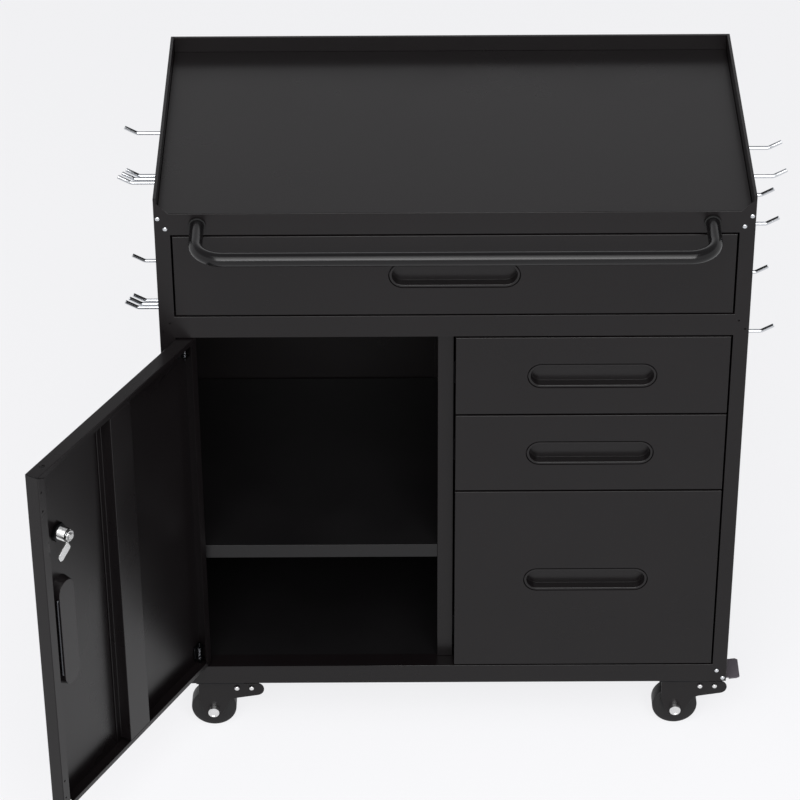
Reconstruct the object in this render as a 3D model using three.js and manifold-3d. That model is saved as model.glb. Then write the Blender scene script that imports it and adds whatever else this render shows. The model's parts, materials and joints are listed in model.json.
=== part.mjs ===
// Rolling tool cabinet: a folded sheet steel body on four castors, with a door, four drawers,
// a shelf, a tray top, a push handle and hooks on perforated sides.
// Millimetres, +X to the right, +Y to the back, +Z up. Heights on the body count from its base.

import * as THREE from 'three';
import { mergeVertices } from 'three/addons/utils/BufferGeometryUtils.js';
import Module from 'manifold-3d';

const wasm = await Module();
wasm.setup();

// Body
const bodyWidth = 800;
const bodyDepth = 448;
const castorHeight = 93;
const sheet = 1.5;
const seatGap = 0.3;
const frontGap = 2;
const overrun = 1;

// Front frame
const postWidth = 21;
const bottomRail = 31.5;
const midRail = 34;
const apronHeight = 33;
const returnDepth = 28;
const rimRise = 23;
const hemThickness = 4;
const gussetRise = 16;
const spareHoleRadius = 1.5;
const spareHoleInset = 14.5;
const spareHoleStep = 9.2;
const spareHoleDrop = 10.2;
const spareHoleFall = 13.5;

// Drawers and door, counted up from the bottom rail
const deepPitch = 315.5;
const smallPitch = 130.5;
const topOpening = 130;
const frontDepth = 20;
const slideSpace = 14;
const boxDepth = 408;
const boxLift = 8;
const smallBoxHeight = 96;
const deepBoxHeight = 250;
const pullLength = 178;
const pullWidth = 40;
const pullDepth = 12.5;
const pullLip = 3;
const pullTaper = 1;
const pullFloorRound = 3;

// Levels and edges worked out from those sizes
const lowerOpening = deepPitch + smallPitch + smallPitch;
const midRailBottom = bottomRail + lowerOpening;
const topOpeningBottom = midRailBottom + midRail;
const apronBottom = topOpeningBottom + topOpening;
const trayLevel = apronBottom + apronHeight;
const bodyHeight = trayLevel + rimRise;
const halfWidth = bodyWidth / 2;
const halfOpening = halfWidth - postWidth;
const hemInner = halfWidth - hemThickness;
const innerWall = halfWidth - sheet - seatGap;
const panelFront = sheet + seatGap;
const panelBack = bodyDepth - sheet - seatGap;
const insideFront = panelFront + sheet + seatGap;
const insideBack = panelBack - sheet - seatGap;

// Colours and finishes
const powderCoat = new THREE.MeshStandardMaterial({ color: 0x2b2a2b, roughness: 0.5, metalness: 0.1 });
const handleCoat = new THREE.MeshStandardMaterial({ color: 0x242324, roughness: 0.3, metalness: 0.15 });
const innerCoat = new THREE.MeshStandardMaterial({ color: 0x302f30, roughness: 0.55, metalness: 0.1 });
const chrome = new THREE.MeshStandardMaterial({ color: 0xd4d6d8, roughness: 0.16, metalness: 1 });
const zinc = new THREE.MeshStandardMaterial({ color: 0xb4b6ba, roughness: 0.35, metalness: 0.9 });
const wheelRubber = new THREE.MeshStandardMaterial({ color: 0x262526, roughness: 0.75, metalness: 0 });
const collarPlastic = new THREE.MeshStandardMaterial({ color: 0x181818, roughness: 0.5, metalness: 0 });
const pedalSteel = new THREE.MeshStandardMaterial({ color: 0x3c393c, roughness: 0.5, metalness: 0.2 });

// Facets of round forms
const roundSides = 16;
const smallSides = 12;
const arcSteps = 6;

// Solids from three.js geometry

function solidOf(geometry) {
  const plain = geometry.clone();
  plain.deleteAttribute('normal');
  plain.deleteAttribute('uv');
  const merged = mergeVertices(plain);
  const index = merged.index.array;
  const kept = [];
  for (let i = 0; i < index.length; i += 3) {
    const [a, b, c] = [index[i], index[i + 1], index[i + 2]];
    if (a !== b && b !== c && c !== a) kept.push(a, b, c);
  }
  const vertProperties = new Float32Array(merged.attributes.position.array);
  const triVerts = new Uint32Array(kept);
  return new wasm.Manifold(new wasm.Mesh({ numProp: 3, vertProperties, triVerts }));
}

function geometryOf(solid) {
  const mesh = solid.getMesh();
  const geometry = new THREE.BufferGeometry();
  geometry.setAttribute('position', new THREE.BufferAttribute(mesh.vertProperties, 3));
  geometry.setIndex(new THREE.BufferAttribute(mesh.triVerts, 1));
  geometry.computeVertexNormals();
  return geometry;
}

function part(name, solid, material) {
  const mesh = new THREE.Mesh(geometryOf(solid), material);
  mesh.name = name;
  return mesh;
}

function join(solids) {
  return solids.reduce((sum, next) => sum.add(next));
}

// A box between three spans, each a pair of places along one axis
function block(xs, ys, zs) {
  const low = new THREE.Vector3(Math.min(...xs), Math.min(...ys), Math.min(...zs));
  const high = new THREE.Vector3(Math.max(...xs), Math.max(...ys), Math.max(...zs));
  const size = new THREE.Vector3().subVectors(high, low);
  const middle = new THREE.Vector3().addVectors(low, high).divideScalar(2);
  return solidOf(new THREE.BoxGeometry(size.x, size.y, size.z).translate(middle.x, middle.y, middle.z));
}

function extruded(shape, depth) {
  return new THREE.ExtrudeGeometry(shape, { depth, bevelEnabled: false, curveSegments: arcSteps });
}

// A prism along X whose outline is drawn in Y and Z
function prismX(shape, xs) {
  const [low, high] = [Math.min(...xs), Math.max(...xs)];
  const turn = new THREE.Matrix4().makeBasis(
    new THREE.Vector3(0, 1, 0), new THREE.Vector3(0, 0, 1), new THREE.Vector3(1, 0, 0));
  return solidOf(extruded(shape, high - low).applyMatrix4(turn).translate(low, 0, 0));
}

// A prism along Y whose outline is drawn in X and Z
function prismY(shape, ys) {
  const [low, high] = [Math.min(...ys), Math.max(...ys)];
  return solidOf(extruded(shape, high - low).rotateX(Math.PI / 2).translate(0, high, 0));
}

// A prism along Z whose outline is drawn in X and Y
function prismZ(shape, zs) {
  const [low, high] = [Math.min(...zs), Math.max(...zs)];
  return solidOf(extruded(shape, high - low).translate(0, 0, low));
}

function rodY(radius, ys, x, z, sides = smallSides) {
  const [low, high] = [Math.min(...ys), Math.max(...ys)];
  const rod = new THREE.CylinderGeometry(radius, radius, high - low, sides);
  return solidOf(rod.translate(x, (low + high) / 2, z));
}

function rodZ(radius, zs, x, y, sides = smallSides) {
  const [low, high] = [Math.min(...zs), Math.max(...zs)];
  const rod = new THREE.CylinderGeometry(radius, radius, high - low, sides).rotateX(Math.PI / 2);
  return solidOf(rod.translate(x, y, (low + high) / 2));
}

function outline(points) {
  return new THREE.Shape(points.map(([a, b]) => new THREE.Vector2(a, b)));
}

function rectangle(as, bs) {
  return outline([[as[0], bs[0]], [as[1], bs[0]], [as[1], bs[1]], [as[0], bs[1]]]);
}

function ring(as, bs, wall) {
  const frame = rectangle([as[0] - wall, as[1] + wall], [bs[0] - wall, bs[1] + wall]);
  frame.holes.push(rectangle(as, bs));
  return frame;
}

// The section of a bent sheet: one face follows the points, the sheet lies to their left
function bentSheet(points, thickness) {
  const face = points.map(([a, b]) => new THREE.Vector2(a, b));
  const normals = face.slice(1).map((point, i) => {
    const along = point.clone().sub(face[i]).normalize();
    return new THREE.Vector2(-along.y, along.x);
  });
  const other = face.map((point, i) => {
    const before = normals[Math.max(i - 1, 0)];
    const after = normals[Math.min(i, normals.length - 1)];
    const mitre = before.clone().add(after).divideScalar(1 + before.dot(after));
    return point.clone().addScaledVector(mitre, thickness);
  });
  return new THREE.Shape([...face, ...other.reverse()]);
}

// A route of straight runs and round bends. Its stations are the ends of the runs and the steps
// of the bends, so a tube swept along it has no section in the middle of a straight run.
class BentRoute extends THREE.Curve {
  constructor(corners, bendRadius, bendSteps) {
    super();
    this.stations = [{ at: corners[0], along: corners[1].clone().sub(corners[0]).normalize() }];
    for (let i = 1; i < corners.length - 1; i += 1) {
      this.addBend(corners[i - 1], corners[i], corners[i + 1], bendRadius, bendSteps);
    }
    const [last, end] = corners.slice(-2);
    this.stations.push({ at: end, along: end.clone().sub(last).normalize() });
  }

  addBend(before, corner, after, bendRadius, bendSteps) {
    const into = corner.clone().sub(before).normalize();
    const out = after.clone().sub(corner).normalize();
    const turn = into.angleTo(out);
    const inward = out.clone().addScaledVector(into, -Math.cos(turn)).normalize();
    const start = corner.clone().addScaledVector(into, -bendRadius * Math.tan(turn / 2));
    const centre = start.clone().addScaledVector(inward, bendRadius);
    for (let step = 0; step <= bendSteps; step += 1) {
      const angle = turn * step / bendSteps;
      const at = centre.clone().addScaledVector(inward, -bendRadius * Math.cos(angle));
      at.addScaledVector(into, bendRadius * Math.sin(angle));
      const along = into.clone().multiplyScalar(Math.cos(angle)).addScaledVector(inward, Math.sin(angle));
      this.stations.push({ at, along });
    }
  }

  station(u) {
    return this.stations[Math.round(u * (this.stations.length - 1))];
  }

  getPoint(u, target = new THREE.Vector3()) {
    return target.copy(this.station(u).at);
  }

  getPointAt(u, target) {
    return this.getPoint(u, target);
  }

  getTangentAt(u, target = new THREE.Vector3()) {
    return target.copy(this.station(u).along);
  }
}

function tube(corners, radius, bendRadius, bendSteps, sides) {
  const route = new BentRoute(corners, bendRadius, bendSteps);
  const points = [];
  for (let i = 0; i < sides; i += 1) {
    const angle = 2 * Math.PI * i / sides;
    points.push([radius * Math.cos(angle), radius * Math.sin(angle)]);
  }
  const settings = { steps: route.stations.length - 1, extrudePath: route, bevelEnabled: false };
  return solidOf(new THREE.ExtrudeGeometry(outline(points), settings));
}

// A solid through rings of points with the same count, closed by flat ends
function loft(rings) {
  const count = rings[0].length;
  const places = rings.flat();
  const triangles = [];
  for (let level = 0; level < rings.length - 1; level += 1) {
    for (let i = 0; i < count; i += 1) {
      const next = (i + 1) % count;
      const [a, b] = [level * count + i, level * count + next];
      const [c, d] = [a + count, b + count];
      triangles.push(a, b, d, a, d, c);
    }
  }
  const top = (rings.length - 1) * count;
  for (let i = 1; i < count - 1; i += 1) {
    triangles.push(0, i + 1, i, top, top + i, top + i + 1);
  }
  const geometry = new THREE.BufferGeometry();
  geometry.setAttribute('position', new THREE.Float32BufferAttribute(places.flat(), 3));
  geometry.setIndex(triangles);
  return solidOf(geometry);
}

function spinY(profile, sides, phase = 0) {
  const points = profile.map(([radius, y]) => new THREE.Vector2(radius, y));
  points.push(points[0].clone());
  return solidOf(new THREE.LatheGeometry(points, sides, phase));
}

// Pressed pull: a stadium that narrows from its lip to its floor, lying along X on the face Y = 0

function pullRing(y, inset) {
  const radius = pullWidth / 2 - inset;
  const straight = (pullLength - pullWidth) / 2;
  const points = [];
  for (const side of [1, -1]) {
    for (let step = 0; step <= arcSteps; step += 1) {
      const angle = side * Math.PI / 2 - Math.PI * step / arcSteps;
      points.push([side * straight + radius * Math.cos(angle), y, radius * Math.sin(angle)]);
    }
  }
  return points;
}

function pullPlug(grown) {
  const mouth = grown > 0 ? seatGap : -overrun;
  return loft([
    pullRing(mouth, -grown),
    pullRing(Math.max(mouth, 0) + grown / 2, -grown),
    pullRing(pullLip + grown / 2, pullLip - grown),
    pullRing(pullDepth - pullFloorRound + grown, pullLip + pullTaper - grown),
    pullRing(pullDepth + grown, pullLip + pullTaper + pullFloorRound - grown),
  ]);
}

// A folded front with its pull pressed in: the pan is a skin with four returns
function pressedPan(xs, zs, pullAt, upright) {
  const skin = prismY(rectangle(xs, zs), [0, sheet]);
  const inner = [[xs[0] + sheet, xs[1] - sheet], [zs[0] + sheet, zs[1] - sheet]];
  const returns = prismY(ring(...inner, sheet), [0, frontDepth]);
  const place = (plug) => {
    const turned = upright ? plug.rotate([0, 90, 0]) : plug;
    return turned.translate([pullAt[0], 0, pullAt[1]]);
  };
  return skin.add(returns).add(place(pullPlug(sheet))).subtract(place(pullPlug(0)));
}

// Front frame

const handleRadius = 9.5;
const handleInset = 57.5;
const handleSpread = halfWidth - handleInset;
const handleLevel = apronBottom + apronHeight / 2 - seatGap;
const hingePinRadius = 2.25;
const hingeInset = 11;
const pivotX = hingeInset - halfOpening;
const pivotY = 6;

function frontOutline() {
  const gussetFoot = hemInner - gussetRise;
  const plate = outline([
    [-halfWidth, 0], [halfWidth, 0], [halfWidth, bodyHeight], [hemInner, bodyHeight],
    [hemInner, trayLevel + gussetRise], [gussetFoot, trayLevel], [-gussetFoot, trayLevel],
    [-hemInner, trayLevel + gussetRise], [-hemInner, bodyHeight], [-halfWidth, bodyHeight],
  ]);
  plate.holes.push(rectangle([-halfOpening, halfOpening], [bottomRail, midRailBottom]));
  plate.holes.push(rectangle([-halfOpening, halfOpening], [topOpeningBottom, apronBottom]));
  return plate;
}

function frontFrame() {
  const opening = [-halfOpening, halfOpening];
  const lowerReturn = prismY(ring(opening, [bottomRail, midRailBottom], sheet), [0, returnDepth]);
  const topReturn = prismY(ring(opening, [topOpeningBottom, apronBottom], sheet), [0, returnDepth]);
  const apronWall = block(opening, [returnDepth - sheet, returnDepth],
    [apronBottom, trayLevel - sheet - seatGap * 2]);
  let frame = join([prismY(frontOutline(), [0, sheet]), lowerReturn, topReturn, apronWall]);
  const through = [-overrun, sheet + overrun];
  for (const side of [-1, 1]) {
    frame = frame.subtract(
      rodY(handleRadius + seatGap, through, side * handleSpread, handleLevel, roundSides));
    const inner = [side * (halfWidth - spareHoleInset), midRailBottom + midRail - spareHoleDrop];
    const outer = [inner[0] + side * spareHoleStep, inner[1] - spareHoleFall];
    for (const [x, z] of [inner, outer]) {
      frame = frame.subtract(rodY(spareHoleRadius, through, x, z));
    }
  }
  for (const level of [bottomRail, midRailBottom]) {
    const hole = rodZ(hingePinRadius + seatGap, [level - sheet * 2, level + sheet * 2], pivotX, pivotY);
    frame = frame.subtract(hole);
  }
  return part('front_frame', frame, powderCoat);
}

// Side and back panels

const holeSize = 10;
const holePitch = 38;
const holeRows = 10;
const holeColumns = 9;
const firstColumn = 66;
const topRowDrop = 31;
const topRow = trayLevel - topRowDrop;
const rearFlange = 15;
const trayFlange = 16;
const hemFoot = trayLevel - trayFlange;

function rowLevel(row) {
  return topRow - row * holePitch;
}

function columnPlace(column) {
  return firstColumn + column * holePitch;
}

function perforatedWeb(xs) {
  const web = block(xs, [panelFront, panelBack], [0, bodyHeight]);
  const half = holeSize / 2;
  const holes = [];
  for (let row = 0; row < holeRows; row += 1) {
    for (let column = 0; column < holeColumns; column += 1) {
      const [y, z] = [columnPlace(column), rowLevel(row)];
      holes.push(block([xs[0] * 2 - xs[1], xs[1] * 2 - xs[0]], [y - half, y + half], [z - half, z + half]));
    }
  }
  return web.subtract(join(holes));
}

function sidePanel(name, side) {
  const flangeTop = trayLevel - sheet - seatGap * 2;
  const across = (inner, outer) => [side * inner, side * outer];
  const web = perforatedWeb(across(halfWidth - sheet, halfWidth));
  const front = block(across(halfOpening + frontGap, halfWidth), [panelFront, panelFront + sheet],
    [0, flangeTop]);
  const rear = block(across(halfWidth - rearFlange, halfWidth), [panelBack - sheet, panelBack],
    [0, hemFoot - seatGap]);
  const hemTop = block(across(hemInner, halfWidth), [panelFront, panelBack],
    [bodyHeight - sheet, bodyHeight]);
  const hemSkin = block(across(hemInner, hemInner + sheet), [panelFront, panelBack],
    [hemFoot, bodyHeight]);
  return part(name, join([web, front, rear, hemTop, hemSkin]), powderCoat);
}

function backPanel() {
  const acrossHem = [seatGap - hemInner, hemInner - seatGap];
  const hemFront = bodyDepth - hemThickness;
  const skin = block([-halfWidth, halfWidth], [bodyDepth - sheet, bodyDepth], [0, bodyHeight]);
  const hemTop = block(acrossHem, [hemFront, bodyDepth], [bodyHeight - sheet, bodyHeight]);
  const hemSkin = block(acrossHem, [hemFront, hemFront + sheet], [hemFoot, bodyHeight]);
  return part('back_panel', join([skin, hemTop, hemSkin]), powderCoat);
}

// Floors and the middle wall

const baseChannel = 76;
const baseLip = 15;
const deckFlange = 20;
const stileWidth = 22;
const stileFront = 23;
const shelfLevel = 235.5;
const shelfLip = 22;

function basePanel() {
  const top = bottomRail - sheet - seatGap;
  const section = bentSheet([
    [insideFront + baseChannel, baseLip], [insideFront + baseChannel, 0], [insideFront, 0],
    [insideFront, top], [insideBack, top], [insideBack, 0], [insideBack - baseChannel, 0],
    [insideBack - baseChannel, baseLip],
  ], -sheet);
  return part('base_panel', prismX(section, [-innerWall, innerWall]), innerCoat);
}

// A flat sheet with a bent edge along each side
function flangedSheet(level, flangeLevels, edge, ys, flangeYs) {
  const plate = block([-edge, edge], ys, [level - sheet, level]);
  const flanges = [-1, 1].map((side) => block([side * (edge - sheet), side * edge],
    flangeYs, flangeLevels));
  return join([plate, ...flanges]);
}

// The tray's edges lie against the inner legs of the rim's hems
function trayFloor() {
  const level = trayLevel - seatGap;
  const back = bodyDepth - hemThickness - seatGap;
  const floor = flangedSheet(level, [hemFoot, level], hemInner - seatGap,
    [panelFront, back], [insideFront, back]);
  return part('tray_floor', floor, powderCoat);
}

function middleDeck() {
  const level = midRailBottom + sheet * 2 + seatGap;
  const within = [insideFront, insideBack];
  const deck = flangedSheet(level, [level - sheet, level + deckFlange], innerWall, within, within);
  return part('middle_deck', deck, innerCoat);
}

function centrePartition() {
  const section = bentSheet([
    [-stileWidth, stileFront], [0, stileFront], [0, panelBack], [-stileWidth, panelBack],
  ], sheet);
  const wall = prismZ(section, [bottomRail + seatGap, midRailBottom - seatGap]);
  return part('centre_partition', wall, powderCoat);
}

function shelf() {
  const front = stileFront + sheet / 2;
  const back = insideBack;
  const left = -innerWall;
  const right = -sheet - seatGap;
  const mouthLeft = seatGap - halfOpening;
  const mouthRight = -stileWidth - seatGap;
  const clearOfPost = returnDepth + seatGap;
  const clearOfStile = stileFront + sheet + seatGap;
  const top = shelfLevel;
  const plan = outline([
    [mouthLeft, front], [mouthRight, front], [mouthRight, clearOfStile], [right, clearOfStile],
    [right, back], [left, back], [left, clearOfPost], [mouthLeft, clearOfPost],
  ]);
  const plate = prismZ(plan, [top - sheet, top]);
  const lip = block([mouthLeft, mouthRight], [front, front + sheet], [top - shelfLip, top]);
  const leftEdge = block([left, left + sheet], [clearOfPost, back], [top - shelfLip, top]);
  const rightEdge = block([right - sheet, right], [clearOfStile, back], [top - shelfLip, top]);
  const rearEdge = block([left, right], [back - sheet, back], [top - shelfLip, top]);
  return part('shelf', join([plate, lip, leftEdge, rightEdge, rearEdge]), innerCoat);
}

// Push handle

const handleReach = 87;
const handleBend = 38;
const handleBendSteps = 6;
const collarRadius = 11.5;
const collarLength = 3;

function pushHandle() {
  const root = returnDepth - sheet - seatGap;
  const corners = [
    new THREE.Vector3(-handleSpread, root, handleLevel),
    new THREE.Vector3(-handleSpread, -handleReach, handleLevel),
    new THREE.Vector3(handleSpread, -handleReach, handleLevel),
    new THREE.Vector3(handleSpread, root, handleLevel),
  ];
  return part('push_handle', tube(corners, handleRadius, handleBend, handleBendSteps, roundSides),
    handleCoat);
}

function handleGrommet(name, side) {
  const along = [-seatGap - collarLength, -seatGap];
  const hole = [along[0] - overrun, along[1] + overrun];
  const outside = rodY(collarRadius, along, side * handleSpread, handleLevel, roundSides);
  const inside = rodY(handleRadius + seatGap, hole, side * handleSpread, handleLevel, roundSides);
  return part(name, outside.subtract(inside), collarPlastic);
}

// Drawers and their slides. A slide is a channel on the cabinet and a smaller one on the drawer,
// drawn on the right side of a drawer; offsets count outwards from the drawer's wall.

const runnerFront = 30;
const runnerLength = 400;
const railHeight = 32;
const railReach = 10.5;
const railPlay = 0.6;
const runnerMouth = 2;
const bracketHeight = 14;
const railLift = 26;

function drawerRail(wall, side, base) {
  const low = base + railLift;
  const high = low + railHeight;
  const along = [frontDepth + seatGap, frontDepth + seatGap + boxDepth];
  const flange = (zs) => block([wall - side * sheet / 2, wall + side * railReach], along, zs);
  return flange([low, low + sheet]).add(flange([high - sheet, high]));
}

function runner(name, wall, side, base, anchor) {
  const low = base + railLift - railPlay - sheet;
  const high = base + railLift + railHeight + railPlay + sheet;
  const along = [runnerFront, runnerFront + runnerLength];
  const back = wall + side * (slideSpace - seatGap);
  const mouth = wall + side * runnerMouth;
  const pieces = [
    block([back - side * sheet, back], along, [low, high]),
    block([mouth, back], along, [low, low + sheet]),
    block([mouth, back], along, [high - sheet, high]),
  ];
  if (Math.abs(anchor - back) > slideSpace) {
    pieces.push(block([back, anchor], along, [low, low + sheet]));
    pieces.push(block([anchor - side * sheet, anchor], along, [low, low + bracketHeight]));
  }
  return part(name, join(pieces), zinc);
}

function drawerFront(name, xs, zs) {
  const middle = [(xs[0] + xs[1]) / 2, (zs[0] + zs[1]) / 2];
  return part(name, pressedPan(xs, zs, middle, false), powderCoat);
}

// The floor and the sides run forward to the front's skin, which closes the box
function drawerBox(name, xs, base, height) {
  const along = [panelFront, frontDepth + seatGap + boxDepth];
  const levels = [base, base + height];
  const inside = block([xs[0] + sheet, xs[1] - sheet], [along[0] - overrun, along[1] - sheet],
    [base + sheet, base + height + overrun]);
  const box = block(xs, along, levels).subtract(inside);
  const rails = [drawerRail(xs[0], -1, base), drawerRail(xs[1], 1, base)];
  return part(name, join([box, ...rails]), innerCoat);
}

const partitionFace = 0;

function drawerUnit(name, openingXs, zs, boxHeight) {
  const fronts = [openingXs[0] + frontGap, openingXs[1] - frontGap];
  const walls = [openingXs[0] + slideSpace, openingXs[1] - slideSpace];
  const base = zs[0] + boxLift;
  const leftAnchor = openingXs[0] === partitionFace ? openingXs[0] : -innerWall;
  return [
    drawerFront(`${name}_front`, fronts, zs),
    drawerBox(`${name}_box`, walls, base, boxHeight),
    runner(`${name}_left_runner`, walls[0], -1, base, leftAnchor),
    runner(`${name}_right_runner`, walls[1], 1, base, innerWall),
  ];
}

function drawers() {
  const half = frontGap / 2;
  const middleBottom = bottomRail + deepPitch;
  const upperBottom = middleBottom + smallPitch;
  const right = [partitionFace, halfOpening];
  return [
    ...drawerUnit('top_drawer', [-halfOpening, halfOpening],
      [topOpeningBottom + frontGap, apronBottom - frontGap], smallBoxHeight),
    ...drawerUnit('upper_drawer', right,
      [upperBottom + half, midRailBottom - frontGap], smallBoxHeight),
    ...drawerUnit('middle_drawer', right,
      [middleBottom + half, upperBottom - half], smallBoxHeight),
    ...drawerUnit('deep_drawer', right,
      [bottomRail + frontGap, middleBottom - half], deepBoxHeight),
  ];
}

// Door, drawn closed in the frame of its hinge pins and then turned open

const doorOpenDegrees = 119.8;
const doorLip = 8;
const doorSideLip = 12.5;
const doorCornerCut = 2.5;
const hatWidth = 48;
const hatFlange = 10;
const hatFromEdge = 166;
const lockFromEdge = 56.2;
const lockLevel = 478;
const doorPullFromEdge = 51.3;
const doorPullDrop = 2.5;
const lockRadius = 9.5;
const lockBezelRadius = 11.5;
const lockBezel = 2;
const lockNutRadius = 14;
const lockNut = 5;
const plugRadius = 5.7;
const camThickness = 2.5;
const camPlay = 1;
const camLength = 37;
const camWidth = 12;
const camDropDegrees = 27;
const camNeck = 8;
const camCrank = 3;
const camEyeShare = 0.75;
const nutSides = 6;

const doorLeft = frontGap - halfOpening - pivotX;
const doorRight = -pivotX;
const doorLow = bottomRail + frontGap;
const doorHigh = midRailBottom - frontGap;
const faceY = -pivotY;

function doorPanel() {
  const xs = [doorLeft, doorRight];
  const zs = [doorLow, doorHigh];
  const pullAt = [doorRight - doorPullFromEdge, (doorLow + doorHigh) / 2 - doorPullDrop];
  const pan = pressedPan(xs, zs, pullAt, true);
  const lips = prismY(rectangle(xs, zs), [frontDepth - sheet, frontDepth]);
  const mouth = block([doorLeft + doorSideLip, doorRight - doorSideLip],
    [frontDepth - sheet - overrun, frontDepth + overrun], [doorLow + doorLip, doorHigh - doorLip]);
  const corner = prismZ(outline([
    [doorLeft - overrun, -overrun], [doorLeft + doorCornerCut, -overrun],
    [doorLeft + doorCornerCut, 0], [doorLeft, doorCornerCut], [doorLeft - overrun, doorCornerCut],
  ]), [doorLow - overrun, doorHigh + overrun]);
  const cornerSkin = prismZ(outline([
    [doorLeft, doorCornerCut], [doorLeft + doorCornerCut, 0],
    [doorLeft + doorCornerCut + sheet, sheet], [doorLeft + sheet, doorCornerCut + sheet],
  ]), zs);
  const lockHole = rodY(lockRadius + seatGap, [-overrun, sheet + overrun],
    doorRight - lockFromEdge, lockLevel, roundSides);
  let door = pan.add(lips.subtract(mouth)).add(cornerSkin).subtract(corner).subtract(lockHole);
  door = door.translate([0, faceY, 0]);
  for (const level of [doorLow, doorHigh]) {
    door = door.subtract(rodZ(hingePinRadius + seatGap, [level - sheet * 2, level + sheet * 2], 0, 0));
  }
  return part('door_panel', door, powderCoat);
}

function doorStiffener() {
  const right = doorRight - hatFromEdge;
  const left = right - hatWidth;
  const foot = faceY + sheet + seatGap;
  const crown = faceY + frontDepth;
  const section = bentSheet([
    [left - hatFlange, foot + sheet], [left, foot + sheet], [left, crown], [right, crown],
    [right, foot + sheet], [right + hatFlange, foot + sheet],
  ], -sheet);
  const ends = [doorLow + doorLip + seatGap, doorHigh - doorLip - seatGap];
  return part('door_stiffener', prismZ(section, ends), powderCoat);
}

function lockHousing() {
  const [x, z] = [doorRight - lockFromEdge, lockLevel];
  const end = faceY + frontDepth;
  const bezel = rodY(lockBezelRadius, [faceY - seatGap - lockBezel, faceY - seatGap], x, z, roundSides);
  const barrel = rodY(lockRadius, [faceY - seatGap - lockBezel / 2, end], x, z, roundSides);
  const nutFace = faceY + sheet + seatGap;
  const nut = rodY(lockNutRadius, [nutFace, nutFace + lockNut], x, z, nutSides);
  const bore = rodY(plugRadius + seatGap, [faceY - lockBezel - overrun, end + overrun], x, z, roundSides);
  return part('lock_housing', join([bezel, barrel, nut]).subtract(bore), chrome);
}

// The cam is cranked, so that it lies behind the stile's edge when the door is shut and locked
function lockCam() {
  const root = faceY + frontDepth + camPlay / 2;
  const back = stileFront - pivotY + sheet + camPlay;
  const plug = rodY(plugRadius, [faceY - lockBezel, root + camThickness], 0, 0, roundSides);
  const tip = camLength - camWidth / 2;
  const eye = rodY(camWidth * camEyeShare, [root, root + camThickness], 0, 0, roundSides);
  const crank = bentSheet([[0, root], [camNeck, root], [camNeck + camCrank, back], [tip, back]],
    camThickness);
  const blade = prismZ(crank, [-camWidth / 2, camWidth / 2]);
  const round = rodY(camWidth / 2, [back, back + camThickness], tip, 0);
  const cam = join([plug, eye, blade, round]).rotate([0, camDropDegrees, 0]);
  return part('lock_cam', cam.translate([doorRight - lockFromEdge, 0, lockLevel]), chrome);
}

const hingePinLength = 38;
const hingeBracketWidth = 10;
const hingeBracketLength = 24;
const hingeBracketStart = 9;
const pinSeat = 0.1;

// A sprung pin through the door's edge into the frame, on a bracket riveted to the skin
function hingePin(name, edge, frameLevel, up) {
  const skin = faceY + sheet + seatGap;
  const bracketFrom = edge - up * hingeBracketStart;
  const bracketTo = bracketFrom - up * hingeBracketLength;
  const half = hingeBracketWidth / 2;
  const tip = frameLevel + up * (sheet - pinSeat);
  const pin = rodZ(hingePinRadius, [edge - up * hingePinLength, tip], 0, 0);
  const plate = block([-half, hingeBracketWidth], [skin, skin + sheet], [bracketFrom, bracketTo]);
  const ears = [bracketFrom, bracketTo + up * sheet].map((level) => block(
    [-half, half], [skin, hingePinRadius * 2], [level, level - up * sheet]));
  return part(name, join([pin, plate, ...ears]), zinc);
}

function door() {
  const group = new THREE.Group();
  group.position.set(pivotX, pivotY, 0);
  group.rotation.z = -THREE.MathUtils.degToRad(doorOpenDegrees);
  group.add(doorPanel(), doorStiffener(), lockHousing(), lockCam());
  group.add(hingePin('upper_hinge_pin', doorHigh, midRailBottom, 1));
  group.add(hingePin('lower_hinge_pin', doorLow, bottomRail, -1));
  return group;
}

// Hooks: bent prongs on a holder plate, with tabs through the square holes

const prongRadius = 2.8;
const prongRise = 20;
const prongRiseDegrees = 29;
const prongBend = 8;
const prongBendSteps = 2;
const prongSides = 8;
const holderThickness = 2;
const holderHeight = 20;
const holderEdge = 8;
const tabPlay = 0.5;
const tabHook = 4;
const tripleStep = 9;
const tripleShorter = 5;

function prong(side, y, z, reach) {
  const foot = side * (halfWidth + seatGap + holderThickness / 2);
  const rise = THREE.MathUtils.degToRad(prongRiseDegrees);
  const bend = side * (halfWidth + reach - prongRise * Math.cos(rise));
  const corners = [
    new THREE.Vector3(foot, y, z),
    new THREE.Vector3(bend, y, z),
    new THREE.Vector3(side * (halfWidth + reach), y, z + prongRise * Math.sin(rise)),
  ];
  return tube(corners, prongRadius, prongBend, prongBendSteps, prongSides);
}

// A tab goes through its hole and turns up behind the panel
function tab(side, y, z) {
  const half = holeSize / 2 - tabPlay;
  const behind = halfWidth - sheet - seatGap;
  const through = block([side * (behind - sheet), side * (halfWidth + seatGap + holderThickness / 2)],
    [y - half, y + half], [z - half, z]);
  const hook = block([side * (behind - sheet), side * behind], [y - half, y + half],
    [z - half, z + half + tabHook]);
  return through.add(hook);
}

function hook(name, side, tabs, prongs, levels) {
  const ys = tabs.map(([y]) => y).concat(prongs.map(([y]) => y));
  const zs = levels.concat(tabs.map(([, z]) => z));
  const face = halfWidth + seatGap;
  const plate = block([side * face, side * (face + holderThickness)],
    [Math.min(...ys) - holderEdge, Math.max(...ys) + holderEdge],
    [Math.min(...zs) - holderHeight / 2, Math.max(...zs) + holderHeight / 2]);
  const pieces = tabs.map(([y, z]) => tab(side, y, z));
  pieces.push(...prongs.map(([y, reach]) => prong(side, y, levels[0], reach)));
  return part(name, join([plate, ...pieces]), chrome);
}

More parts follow.
